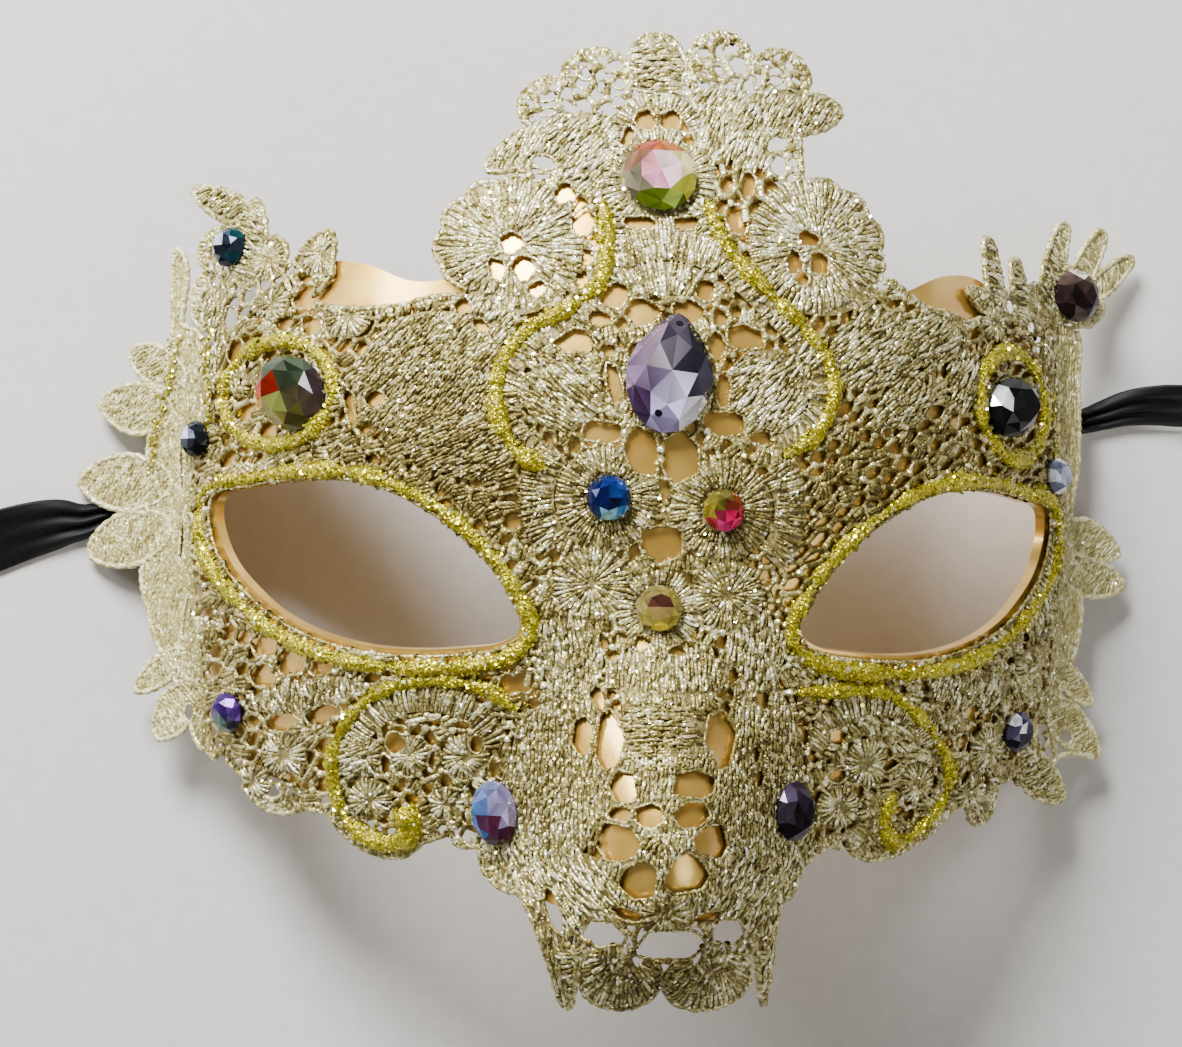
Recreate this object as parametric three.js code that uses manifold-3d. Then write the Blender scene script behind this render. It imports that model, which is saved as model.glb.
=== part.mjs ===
// Lace masquerade mask, lying face up on its temple edges. Millimetres, +Z up, +Y towards the crown.
// A moulded gold shell carries applied lace, glitter lines, sewn and glued stones and two ribbon ties.
import * as THREE from "three";
import { mergeVertices } from "three/addons/utils/BufferGeometryUtils.js";
import Module from "manifold-3d";

const wasm = await Module();
wasm.setup();

// Form of the face: a wide arch across, a gentle arch down, and a nose that stands out below the bridge.
const faceApex = 62;
const faceHalfWidth = 74;
const faceFall = 60;
const facePower = 2.6;
const browLine = 18;
const rowRadius = 110;
const noseTop = 2;
const noseLength = 42;
const noseHeight = 27;
const noseHalfWidth = 8.5;
const noseSpread = 8.5;
const tipStart = -44;
const tipRoll = 3;
const tipSpread = 9;

// The lace leaves the shell near the temples and spreads out towards the table.
const flareStart = 70;
const flareHeight = 9;
const flareSlope = 0.5;
const flareLowest = 0.9;
const flareHighest = 16;
const flareBlend = 4;

const shellThick = 1.5;
const laceThick = 1.1;
const clearance = 0.3;
const seamHalf = 0.2;
const lineHalfWidth = 1.2;
const lineHeight = 1.3;
const lineSeat = 0.36;
const rimOut = 1.45;
const stoneSeat = 0.28;
const ribbonWidth = 10;
const ribbonThick = 0.6;
const cutLow = -20;
const cutHigh = 110;

// Colours of the real materials.
const shellGold = { color: 0xd9b070, roughness: 0.35, metalness: 0.6 };
const laceGold = { color: 0x968c64, roughness: 0.5, metalness: 0.5 };
const glitterGold = { color: 0xb5a52a, roughness: 0.4, metalness: 0.6 };
const satinBlack = { color: 0x0c0c10, roughness: 0.4, metalness: 0 };

const table = (names, rows) => {
  const keys = names.split(" ");
  return rows.map((row) => Object.fromEntries(keys.map((key, i) => [key, row[i]])));
};
const points = (rows) => rows.map(([x, y]) => new THREE.Vector2(x, y));
const mirrored = (list) => list.map((p) => new THREE.Vector2(-p.x, p.y)).reverse();
const bothSides = (half) => [...half, ...mirrored(half).filter((p) => Math.abs(p.x) > 0.01)];

// Grid shared by every sheet, closer where the form bends more.
const halfColumns = [6, 12, 20, 30, 41, 51, 59, 65, 70, 74, 79, 92];
const columns = [...halfColumns.map((x) => -x).reverse(), 0, ...halfColumns];
const rows = [-64, -54, -45, -36, -27, -18, -9, 2, 14, 27, 40, 53, 66, 78, 90];

function smoothStep(t) {
  const k = THREE.MathUtils.clamp(t, 0, 1);
  return k * k * (3 - 2 * k);
}

function shellTop(x, y) {
  const arch = faceFall * (Math.abs(x) / faceHalfWidth) ** facePower;
  const fall = (y - browLine) ** 2 / (2 * rowRadius);
  const t = THREE.MathUtils.clamp((noseTop - y) / noseLength, 0, 1);
  const below = THREE.MathUtils.clamp((-40 - y) / 16, 0, 1);
  const width = noseHalfWidth + noseSpread * t + tipSpread * below;
  const roll = tipRoll * THREE.MathUtils.clamp((tipStart - y) / 12, 0, 1.6) ** 2;
  const ridge = (noseHeight * smoothStep(t * 0.92) - roll) * Math.exp(-((x / width) ** 2));
  return faceApex - arch - fall + ridge;
}

function laceLow(x, y) {
  const shell = shellTop(x, y);
  const spread = flareHeight - flareSlope * (Math.abs(x) - flareStart);
  const flare = THREE.MathUtils.clamp(spread, flareLowest, flareHighest);
  return 0.5 * (shell + flare + Math.hypot(shell - flare, flareBlend)) + clearance;
}

function steepness(height, x, y) {
  const d = 0.5;
  const dx = (height(x + d, y) - height(x - d, y)) / (2 * d);
  const dy = (height(x, y + d) - height(x, y - d)) / (2 * d);
  return Math.min(Math.hypot(1, dx, dy), 2.6);
}

const shellLow = (x, y) => shellTop(x, y) - shellThick * steepness(shellTop, x, y);
const laceTop = (x, y) => laceLow(x, y) + laceThick * steepness(laceLow, x, y);

// Height of the flat grid facet above a plan point, so that what lies on a sheet clears it exactly.
function facetHeight(height, x, y) {
  const i = Math.max(0, Math.min(columns.length - 2, columns.findIndex((c) => c > x) - 1));
  const j = Math.max(0, Math.min(rows.length - 2, rows.findIndex((r) => r > y) - 1));
  const u = (x - columns[i]) / (columns[i + 1] - columns[i]);
  const v = (y - rows[j]) / (rows[j + 1] - rows[j]);
  const a = height(columns[i], rows[j]);
  const b = height(columns[i + 1], rows[j]);
  const c = height(columns[i + 1], rows[j + 1]);
  const d = height(columns[i], rows[j + 1]);
  return u >= v ? a + u * (b - a) + v * (c - b) : a + u * (c - d) + v * (d - a);
}

function surfaceNormal(height, x, y, reach = 2) {
  const dx = (height(x + reach, y) - height(x - reach, y)) / (2 * reach);
  const dy = (height(x, y + reach) - height(x, y - reach)) / (2 * reach);
  return new THREE.Vector3(-dx, -dy, 1).normalize();
}

function bodyOf(positions, index) {
  const geometry = new THREE.BufferGeometry();
  geometry.setAttribute("position", new THREE.Float32BufferAttribute(positions, 3));
  geometry.setIndex(index);
  return geometry;
}

// Merged corners, no empty triangles, faces outward.
function closed(source) {
  const geometry = source.clone();
  geometry.deleteAttribute("normal");
  geometry.deleteAttribute("uv");
  const merged = mergeVertices(geometry, 1e-4);
  const position = merged.getAttribute("position");
  const index = merged.getIndex().array;
  const faces = [];
  let volume = 0;
  const [a, b, c] = [new THREE.Vector3(), new THREE.Vector3(), new THREE.Vector3()];
  for (let i = 0; i < index.length; i += 3) {
    const [p, q, r] = [index[i], index[i + 1], index[i + 2]];
    if (p === q || q === r || r === p) continue;
    faces.push(p, q, r);
    a.fromBufferAttribute(position, p);
    b.fromBufferAttribute(position, q);
    c.fromBufferAttribute(position, r);
    volume += a.dot(b.cross(c));
  }
  if (volume < 0) faces.reverse();
  return bodyOf(Array.from(position.array), faces);
}

function solidOf(geometry) {
  const body = closed(geometry);
  const vertProperties = new Float32Array(body.getAttribute("position").array);
  const triVerts = new Uint32Array(body.getIndex().array);
  return new wasm.Manifold(new wasm.Mesh({ numProp: 3, vertProperties, triVerts }));
}

function geometryOf(solid) {
  const mesh = solid.getMesh();
  const positions = [];
  for (let i = 0; i < mesh.vertProperties.length; i += mesh.numProp) {
    positions.push(...mesh.vertProperties.subarray(i, i + 3));
  }
  return bodyOf(positions, Array.from(mesh.triVerts));
}

// Closed sheet between two height functions over the grid.
function sheet(low, high) {
  const nx = columns.length;
  const ny = rows.length;
  const positions = [];
  const index = [];
  for (const height of [low, high]) {
    for (const y of rows) {
      for (const x of columns) positions.push(x, y, height(x, y));
    }
  }
  const at = (layer, j, i) => layer * nx * ny + j * nx + i;
  for (let j = 0; j < ny - 1; j += 1) {
    for (let i = 0; i < nx - 1; i += 1) {
      const cell = [[j, i], [j, i + 1], [j + 1, i + 1], [j + 1, i]];
      const ring = (layer) => cell.map(([m, n]) => at(layer, m, n));
      const [a, b, c, d] = ring(1);
      index.push(a, b, c, a, c, d);
      const [e, f, g, h] = ring(0);
      index.push(e, g, f, e, h, g);
    }
  }
  const border = [];
  for (let i = 0; i < nx - 1; i += 1) border.push([0, i]);
  for (let j = 0; j < ny - 1; j += 1) border.push([j, nx - 1]);
  for (let i = nx - 1; i > 0; i -= 1) border.push([ny - 1, i]);
  for (let j = ny - 1; j > 0; j -= 1) border.push([j, 0]);
  border.forEach(([j, i], k) => {
    const [m, n] = border[(k + 1) % border.length];
    index.push(at(0, j, i), at(0, m, n), at(1, m, n), at(0, j, i), at(1, m, n), at(1, j, i));
  });
  return solidOf(bodyOf(positions, index));
}

function prism(outline, low = cutLow) {
  const shape = new THREE.Shape(outline);
  const geometry = new THREE.ExtrudeGeometry(shape, { depth: cutHigh - low, bevelEnabled: false });
  return solidOf(geometry.translate(0, 0, low));
}

const joined = (outlines) => outlines.map((o) => prism(o)).reduce((all, next) => all.add(next));

function spline(list, count, loop) {
  const places = list.map((p) => new THREE.Vector3(p.x, p.y, 0));
  const curve = new THREE.CatmullRomCurve3(places, loop, "centripetal");
  const sampled = curve.getSpacedPoints(count).map((p) => new THREE.Vector2(p.x, p.y));
  return loop ? sampled.slice(0, -1) : sampled;
}

// Outline moved inwards, or outwards where the distance is negative.
function inset(outline, distance) {
  const side = Math.sign(THREE.ShapeUtils.area(outline));
  return outline.map((p, i) => {
    const before = outline[(i + outline.length - 1) % outline.length];
    const after = outline[(i + 1) % outline.length];
    const e = p.clone().sub(before).normalize();
    const f = after.clone().sub(p).normalize();
    const bisector = new THREE.Vector2(-e.y - f.y, e.x + f.x);
    const length = bisector.length();
    const reach = (2 * distance * side) / Math.max(length * length, 0.6);
    return p.clone().addScaledVector(bisector, reach);
  });
}

function oval({ x, y, rx, ry, turn = 0 }, sides) {
  const angle = THREE.MathUtils.degToRad(turn);
  return Array.from({ length: sides }, (_, i) => {
    const t = (i / sides) * 2 * Math.PI;
    return new THREE.Vector2(rx * Math.cos(t), ry * Math.sin(t)).rotateAround(new THREE.Vector2(), angle)
      .add(new THREE.Vector2(x, y));
  });
}

function scalloped({ x, y, radius, depth, lobes }) {
  return Array.from({ length: lobes * 3 }, (_, i) => {
    const t = (i / (lobes * 3)) * 2 * Math.PI;
    const r = i % 3 === 0 ? radius - depth : radius;
    return new THREE.Vector2(x + r * Math.cos(t), y + r * Math.sin(t));
  });
}

// Leaf from its foot to its pointed tip.
function leaf({ fromX, fromY, toX, toY, width }) {
  const foot = new THREE.Vector2(fromX, fromY);
  const run = new THREE.Vector2(toX - fromX, toY - fromY);
  const across = new THREE.Vector2(-run.y, run.x).normalize();
  const stations = [0.05, 0.4, 0.72, 0.93];
  const edge = (sign) => stations.map((t) => {
    const half = 0.5 * width * Math.sin(Math.PI * t ** 0.9) ** 0.6;
    return foot.clone().addScaledVector(run, t).addScaledVector(across, sign * half);
  });
  return [...edge(-1), foot.clone().add(run), ...edge(1).reverse()];
}

// Flat-backed bar swept along points that each carry a direction across and a direction up.
function sweep(stations, section) {
  const n = section.length;
  const positions = [];
  const index = [];
  for (const { place, across, up } of stations) {
    for (const [u, v] of section) {
      const p = place.clone().addScaledVector(across, u).addScaledVector(up, v);
      positions.push(p.x, p.y, p.z);
    }
  }
  for (let k = 0; k < stations.length - 1; k += 1) {
    for (let i = 0; i < n; i += 1) {
      const a = k * n + i;
      const b = k * n + ((i + 1) % n);
      index.push(a, b, b + n, a, b + n, a + n);
    }
  }
  const last = (stations.length - 1) * n;
  for (let i = 1; i < n - 1; i += 1) {
    index.push(0, i + 1, i, last, last + i, last + i + 1);
  }
  return closed(bodyOf(positions, index));
}

const lineSection = [
  [-lineHalfWidth, 0],
  [-0.62 * lineHalfWidth, 0.78 * lineHeight],
  [0.62 * lineHalfWidth, 0.78 * lineHeight],
  [lineHalfWidth, 0],
];

// Glitter line lying on the lace along a plan path.
function glitterLine(path) {
  const places = path.map((p) => {
    const lift = lineSeat * steepness(laceLow, p.x, p.y);
    return new THREE.Vector3(p.x, p.y, facetHeight(laceTop, p.x, p.y) + lift);
  });
  const stations = places.map((place, i) => {
    const before = places[Math.max(0, i - 1)];
    const after = places[Math.min(places.length - 1, i + 1)];
    const along = after.clone().sub(before).normalize();
    const normal = surfaceNormal(laceTop, place.x, place.y);
    const across = along.clone().cross(normal).normalize();
    return { place, across, up: across.clone().cross(along).normalize() };
  });
  return sweep(stations, lineSection);
}

const parts = new THREE.Group();
function addPart(name, geometry, material) {
  const flat = geometry.toNonIndexed();
  flat.computeVertexNormals();
  const mesh = new THREE.Mesh(flat, new THREE.MeshStandardMaterial({ ...material, flatShading: true }));
  mesh.name = name;
  parts.add(mesh);
  return mesh;
}

// Eye opening of the right side, from the inner corner over the top to the outer corner and back below.
const eyeRight = points([
  [20.5, -5.5], [22, -1], [25, 3.6], [30, 8.6], [35, 12.1], [40, 14.6], [45, 16], [50, 16.4], [55, 16.2],
  [60, 15.6], [65.3, 14.6], [65.9, 12], [65, 8], [63, 4], [60, 0.6], [56, -2.9], [50.5, -5.9], [45, -7.6],
  [40, -8.4], [34, -8.6], [28, -8.2], [23, -7.4],
]);
const eyes = { right: eyeRight, left: mirrored(eyeRight) };

// Shell: half outline from the middle of the crown round the temple to the middle of the nose.
const shellHalf = points([
  [0, 73], [6.5, 70.5], [12, 65], [20, 57], [28, 50.8], [36, 48.4], [44, 50], [50.5, 49.4], [57.5, 45.6],
  [64, 40.5], [70, 34.4], [78, 26], [79, 10], [78, -6],
  [72, -15.5], [66, -21.5], [60.5, -26.5], [54, -29.5],
  [48, -31], [43, -33.4], [38, -35.4], [32, -34.6], [26.5, -35.2], [22, -39], [18, -43.4], [11.5, -45.9],
  [5, -46.8], [0, -46.9],
]);
let shell = sheet(shellLow, shellTop).intersect(prism(bothSides(shellHalf), 0));
shell = shell.subtract(prism(eyes.left)).subtract(prism(eyes.right));
addPart("mask_shell", geometryOf(shell), shellGold);

// Seams between the lace pieces on the right side; the left ones are their mirror images.
const seamCrown = points([
  [40, 75], [33.6, 47.4], [27, 42.7], [20, 39.6], [13, 42.2], [6, 41.8], [0, 41.8],
]);
const seamScroll = points([
  [20, 39.6], [23.8, 33], [24.3, 27], [21.5, 21], [17.2, 17.5],
  [15.8, 10], [17, 2], [18.6, -3], [20.5, -5.5],
]);
const seamBridge = points([[18.6, -9.4], [9, -13.6], [0, -14.6]]);
const seamNose = points([[18.6, -9.4], [20.5, -18], [24, -24], [28, -29], [29.2, -40], [30, -70]]);
const seamTemple = points([[66.8, 40.6], [66.8, 30], [67.6, 22], [69.6, 16.4]]);
const seamCheek = points([
  [69.6, 16.4], [69.4, 8], [68.4, 0], [67.5, -10], [66.4, -18], [65.4, -24], [60, -29.6], [70, -50],
]);
const seamCorner = points([[40, 75], [47.6, 56], [47.6, 47.4], [52, 43.2], [60, 42.6], [66.8, 40.6]]);
const cornerOut = {
  left: points([[66.8, 40.6], [70.8, 42.4], [70.8, 80]]),
  right: points([[66.8, 40.6], [68.2, 45.2], [100, 45.2]]),
};
const eyeMiddle = points([[20.5, -5.5], [43, 4], [65.6, 14.2], [69.6, 16.4]]);
const back = (list) => [...list].reverse();
const chain = (...lists) => lists.flat().filter((p, i, all) => p.distanceTo(all.at(i - 1)) > 0.01);

const halfRegions = {
  brow: () => chain(
    seamCrown.slice(0, 4), seamScroll, eyeMiddle, back(seamTemple), back(seamCorner).slice(0, -1),
  ),
  cheek: () => chain(eyeMiddle, seamCheek, back(seamNose)),
  side: (side) => chain(
    seamTemple, seamCheek, points([[100, -50]]),
    side === "left" ? points([[100, 80]]) : points([[100, 45.2]]), back(cornerOut[side]),
  ),
  corner: (side) => chain(
    seamCorner, cornerOut[side], side === "left" ? points([[60, 80]]) : points([[100, 80]]),
    points([[40, 80]]),
  ),
};
const halfCrown = back(chain(points([[0, 95], [44, 95]]), seamCrown));
const halfForehead = chain(back(seamCrown).slice(0, 4), seamScroll, seamBridge);
const halfNose = chain(back(seamBridge), seamNose, points([[0, -70]]));

// Outlines of the lace pieces. The outer edges are joined from a ground and from lobes and leaves.
const bigFlowers = table("x y radius depth lobes", [[-22.4, 50, 10.5, 0.7, 11], [22.6, 51, 10.5, 0.7, 11]]);
const crownGround = points([
  [-29, 45.5], [-20.5, 39], [0, 39], [20, 39], [29, 45.5], [24, 58], [20.6, 61.5], [20.6, 69], [13, 75],
  [5, 76], [-5, 76], [-13, 72], [-16, 66], [-19.6, 64], [-21.6, 60], [-24, 57],
]);
const crownLobes = table("x y rx ry turn", [
  [-0.3, 78.4, 4.3, 5.7, 0], [-9.4, 76.2, 5.2, 4.9, 20], [-16, 72, 4.9, 4.3, 25], [9.3, 79, 5, 5.6, -10],
  [18.3, 77.6, 4.5, 4.6, -10], [-14.5, 66.3, 8.6, 3.8, 16], [18, 71.8, 9.5, 3.7, 6],
]);
const crownLeaves = table("fromX fromY toX toY width", [[-15, 68, -25.6, 61.8, 5]]);

const browGroundHalf = points([
  [14, -12], [14, 39.6], [20, 39.6], [27, 42.7], [33.4, 46.9],
  [37, 44.9], [41, 43], [44.3, 42.9], [47.4, 42],
  [52, 43.2], [60, 42.6], [66.8, 40.6], [80, 38], [80, 8], [40, -6],
]);
const cheekGround = {
  left: points([
    [18, -4], [40, 6], [72, 18], [72, -8], [66.6, -24],
    [63, -28], [60, -31], [57, -33.5], [54, -34], [50, -33],
    [47, -33.7], [45, -36.3], [40.5, -39.1], [36, -39.4], [33, -37], [29, -35.6], [16, -34],
  ]),
  right: points([
    [18, -4], [40, 6], [72, 18], [72, -8], [66, -23],
    [60, -27.6], [57, -28.6], [55.6, -33.8], [52.6, -34.6],
    [50.5, -31.4], [47.6, -32.4], [44, -35.6], [40, -37.4],
    [36, -39.2], [31.5, -38.7], [29, -36.2], [16, -34],
  ]),
};
const noseGround = points([
  [-32, -36.4], [-25, -37.2], [-24, -41.2], [-20.5, -43.6],
  [-18, -43], [-14.6, -49], [-10.4, -51.6], [12.4, -51.6],
  [16.8, -49], [17, -45], [19.6, -43.8], [22, -39.6], [26, -37], [32, -36.4], [32, -4], [-32, -4],
]);
const noseLobes = table("x y rx ry turn", [[-5.5, -54.6, 5.6, 4.9, 0], [7, -54.8, 6.5, 4.9, 0]]);
const noseLeaves = table("fromX fromY toX toY width", [
  [-19, -36, -12.2, -60, 6.5], [14.6, -38, 18, -60, 6],
]);

const cornerGround = {
  left: points([
    [66.8, 38], [70, 44], [69, 49.5], [66, 52], [60, 52],
    [56, 50.6], [52, 49], [46, 48.2], [46, 44], [52, 41],
  ]),
  right: points([
    [46, 47.4], [46, 44], [52, 41], [66.8, 38], [69, 44],
    [76, 46], [78, 49], [76, 53], [70, 54], [64, 51.6],
    [60, 50], [54, 48],
  ]),
};
const cornerLobes = {
  left: table("x y rx ry turn", [[65.4, 53.6, 3.7, 3.7, 0], [57.4, 51.4, 2.6, 2.9, 0]]),
  right: table("x y rx ry turn", [[72.4, 51.4, 4.6, 4.6, 0]]),
};
const cornerLeaves = {
  left: table("fromX fromY toX toY width", [
    [61.4, 45, 60.2, 61, 5.6], [60, 57.8, 70.3, 63.9, 4.4], [52.8, 45, 48.2, 54, 5.6],
  ]),
  right: table("fromX fromY toX toY width", [
    [54.4, 43.4, 52.9, 58, 3.4], [60.2, 43.4, 58.8, 55.2, 3.4],
    [65.6, 46, 70.2, 62.8, 4.2], [71, 49, 77.6, 62.4, 4.2],
    [74, 49.4, 83, 58.2, 3.8],
  ]),
};
const sideGround = {
  left: points([
    [64, 41], [71, 43], [71, 54], [73.6, 54.4], [74.6, 47],
    [73.6, 40], [76, 36], [76, 30], [77, 22], [77, 14],
    [76.6, 6], [77.6, 3], [76.6, -3], [74.6, -9], [72, -13], [70.4, -18], [68, -24], [64, -26], [64, 12],
  ]),
  right: points([
    [64, 46], [72.4, 44.6], [73, 36], [73, 22], [71.6, 15],
    [72.2, 5], [74, 0], [73.4, -6], [72, -10], [70, -13.4],
    [69.6, -17], [67, -24], [62.6, -29], [58, -28], [64, 12],
  ]),
};
const sideLeaves = {
  left: table("fromX fromY toX toY width", [
    [71, 33, 80.2, 38.4, 6], [73, 28, 85, 30, 8], [73, 17, 88.4, 17.3, 9], [73, 10.4, 86.6, 5.8, 8.5],
    [70.4, -9.4, 78.2, -16.2, 4], [68.4, -14.4, 74.6, -23.6, 6.2],
  ]),
  right: table("fromX fromY toX toY width", [
    [69.6, 12.6, 81.2, 8, 6], [70, 5, 82.2, 3, 6], [68, -9, 76.2, -16.6, 3.8], [66, -14.6, 77.6, -25, 6.2],
    [61.4, -24.4, 71, -32, 6.2],
  ]),
};

// Open places of the lace, seen through to the gold shell or right through beyond its edge.
const crownGaps = table("x y rx ry turn", [
  [-7, 78.3, 1.4, 0.9, 30], [-11, 77.2, 0.9, 1, 0], [-8.6, 75, 0.8, 0.8, 0], [-6.1, 75.6, 0.8, 1, 0],
  [-6.2, 72.6, 1, 0.8, 0], [-16.6, 73.3, 1.3, 0.7, 10],
  [-16.7, 70.8, 1, 0.55, 10], [-13.4, 71.6, 1.4, 0.7, -40],
  [-12.3, 74.2, 0.9, 0.7, -30], [-17.4, 62.9, 1.7, 0.9, -20],
  [-17.6, 60.5, 1.5, 0.6, 0], [6.8, 81.2, 1, 0.8, 0],
  [11, 82, 0.9, 1.1, -30], [5.3, 78.4, 0.9, 1, 0], [8.9, 78.2, 0.8, 0.7, 0], [6.2, 75.6, 0.9, 0.9, 0],
  [10.4, 75.8, 0.9, 0.8, 0], [16.5, 80, 1, 0.7, 0], [17.4, 77, 1.4, 0.7, 20], [17.2, 66.6, 1.6, 1, 20],
  [19.3, 63.9, 0.8, 0.9, 0], [-1.7, 70, 1.5, 1.4, 0], [1.7, 70.1, 1.5, 1.4, 0], [-14, 58.2, 1.2, 1.6, 30],
  [-12.3, 53.6, 1.6, 2.2, 20], [12.7, 61, 0.8, 1.6, -10],
  [10.8, 56, 0.9, 2.2, 0], [-3.4, 53.7, 1.6, 0.8, 0],
  [1.6, 53.6, 1.6, 0.8, 0], [-22.3, 50.2, 1.3, 1.3, 0], [-24, 47, 0.8, 1.2, 20], [-20.4, 46.6, 1.3, 1.5, 0],
  [22, 51.4, 1.5, 1.1, 0], [19.4, 49.6, 0.9, 1, 0], [22.8, 48.4, 1, 1.3, 0], [20, 46, 0.9, 1, 0],
  [-8.3, 44, 1.5, 1.1, -20], [6.1, 44, 1.2, 1.3, 0],
]);
const foreheadGaps = table("x y rx ry turn", [
  [-12.5, 36.4, 2, 1.2, 10], [-8.7, 38.8, 1, 0.8, 30],
  [-4.4, 40.2, 1.5, 0.8, 10], [4.6, 40.2, 1.4, 0.8, -10],
  [7.6, 36, 1, 2.1, 0], [11.9, 37.3, 2.2, 1.3, 0], [7.9, 29.6, 0.7, 1.9, 0], [8, 24.8, 2.1, 1.5, 0],
  [-9, 23.4, 2.5, 1.3, 0], [-3.6, 19.8, 1.8, 2.1, 0], [2.2, 19.8, 2.2, 2.2, 0], [13.4, 22, 1.5, 0.9, 0],
  [-0.6, 7, 2.4, 2.3, 0], [-2.6, -8, 1.3, 0.8, -20], [1.6, -8.4, 1.2, 0.7, 10], [-7.6, 32, 0.7, 1.7, 0],
]);
const browGaps = {
  left: table("x y rx ry turn", [
    [26.6, 38.4, 1.4, 1, 0], [29.4, 41, 1.1, 0.9, 0],
    [44.4, 27.6, 0.6, 3.2, 14], [48.2, 35.6, 0.6, 1.5, 15],
    [41.2, 28, 1.3, 1.1, 0], [62.5, 36.4, 1.4, 1.9, 0],
    [65.2, 26.4, 0.6, 1.2, 15], [63.8, 21.6, 0.6, 1.3, 15],
  ]),
  right: table("x y rx ry turn", [
    [40.4, 32, 0.6, 1.8, -10], [41.4, 27.6, 1.5, 1.1, 30],
    [45, 25.7, 0.9, 1.5, -15], [48, 19.8, 0.8, 0.6, 0],
    [50.8, 38.6, 0.8, 1.1, 0], [63.4, 36, 0.7, 1.3, 0], [33, 24, 0.8, 0.7, 0],
  ]),
};
const cornerGaps = {
  left: table("x y rx ry turn", [[52.4, 45.4, 1.7, 1.1, 0], [63.4, 44.4, 0.9, 1.7, 0]]),
  right: table("x y rx ry turn", [[57, 46.4, 0.8, 1.4, 0]]),
};
const cheekGaps = {
  left: table("x y rx ry turn", [
    [57.4, -8.2, 1.6, 1.6, 0], [53.4, -9.7, 1.6, 1.6, 0],
    [57.6, -12.6, 1.6, 1.6, 0], [49, -11.6, 1.3, 1.1, 0],
    [63.6, -4.4, 0.8, 0.9, 0], [48.4, -18.6, 1.3, 0.9, 0],
    [37.4, -22.4, 1.2, 1.4, 0], [22, -13.4, 1.1, 1.4, 0],
    [53, -28.6, 1.2, 0.9, 0], [26, -22, 0.9, 1.2, 0],
  ]),
  right: table("x y rx ry turn", [
    [61, -5.6, 0.9, 0.8, 0], [57.6, -9.4, 0.9, 0.8, 0], [51, -17, 1.2, 1.3, 0], [55, -17.4, 0.7, 1.3, 15],
    [36.6, -24.6, 1, 1.5, -25], [28.6, -25.8, 0.8, 0.8, 0],
    [32, -28.8, 0.9, 0.9, 0], [27.4, -20.4, 1.2, 1.1, 0],
    [48.6, -22, 0.7, 1.4, -15],
  ]),
};
const sideGaps = {
  left: table("x y rx ry turn", [[71.6, -12.8, 0.6, 1.1, 0], [69.4, -19.4, 0.8, 1.2, 0]]),
  right: table("x y rx ry turn", [
    [68.9, -13.4, 0.7, 1, 0], [67.6, -20.6, 0.8, 1.6, 10], [71.4, -21.8, 1.2, 0.55, -45],
  ]),
};
const noseGaps = table("x y rx ry turn", [
  [-8.4, -21, 1.5, 2.8, 0], [7.2, -21, 1.2, 2.6, 0], [-6, -27.2, 0.9, 1.3, 0], [-6.4, -31, 0.8, 1.5, 0],
  [-7, -35, 1.7, 1.5, 20], [-3.4, -31, 1.2, 1.5, 0], [3.6, -27, 1.8, 1.4, 0], [3, -30.9, 1.8, 1.2, 0],
  [5.2, -34.6, 2, 1.6, 0], [2.6, -38.8, 2.1, 1.7, 0],
  [-3.7, -39.6, 1.3, 1.6, 0], [-7.8, -48.6, 2.4, 1.1, 0],
  [-0.4, -49.2, 3.4, 1.2, 0], [8, -48.8, 2.4, 1.2, 0], [-16.4, -43.6, 0.5, 1.8, 15], [13.8, -15, 0.7, 1, 0],
  [-11.8, -20.4, 0.6, 1.5, 0],
]);

const gapSides = (gap) => (gap.rx * gap.ry > 1.3 ? 6 : 4);
const mirrorGap = (gap) => ({ ...gap, x: -gap.x, turn: -gap.turn });
const mirrorLeaf = (one) => ({ ...one, fromX: -one.fromX, toX: -one.toX });
const lobeSides = 10;

const laceSheet = sheet(laceLow, laceTop);
function addLace(name, region, outlines, gaps, eyeSides = []) {
  let solid = laceSheet.intersect(prism(inset(region, seamHalf)));
  if (outlines.length) solid = solid.intersect(joined(outlines));
  for (const side of eyeSides) solid = solid.subtract(prism(eyes[side]));
  if (gaps.length) solid = solid.subtract(joined(gaps.map((gap) => oval(gap, gapSides(gap)))));
  addPart(name, geometryOf(solid), laceGold);
}

const ovals = (list) => list.map((lobe) => oval(lobe, lobeSides));
addLace("lace_crown", bothSides(halfCrown), [
  crownGround, ...bigFlowers.map(scalloped), ...ovals(crownLobes), ...crownLeaves.map(leaf),
], crownGaps);
addLace("lace_forehead", bothSides(halfForehead), [], foreheadGaps);
addLace("lace_nose", bothSides(halfNose), [
  noseGround, ...ovals(noseLobes), ...noseLeaves.map(leaf),
], noseGaps);
for (const side of ["left", "right"]) {
  const place = side === "left" ? mirrored : (list) => list;
  const gapAt = side === "left" ? mirrorGap : (gap) => gap;
  const leafAt = side === "left" ? mirrorLeaf : (one) => one;
  addLace(`lace_brow_${side}`, place(halfRegions.brow()), [
    place(browGroundHalf),
  ], browGaps[side].map(gapAt), [side]);
  addLace(`lace_cheek_${side}`, place(halfRegions.cheek()), [
    place(cheekGround[side]),
  ], cheekGaps[side].map(gapAt), [side]);
  addLace(`lace_corner_${side}`, place(halfRegions.corner(side)), [
    place(cornerGround[side]), ...ovals(cornerLobes[side].map(gapAt)),
    ...cornerLeaves[side].map(leafAt).map(leaf),
  ], cornerGaps[side].map(gapAt));
  addLace(`lace_side_${side}`, place(halfRegions.side(side)), [
    place(sideGround[side]), ...sideLeaves[side].map(leafAt).map(leaf),
  ], sideGaps[side].map(gapAt));
}

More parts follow.
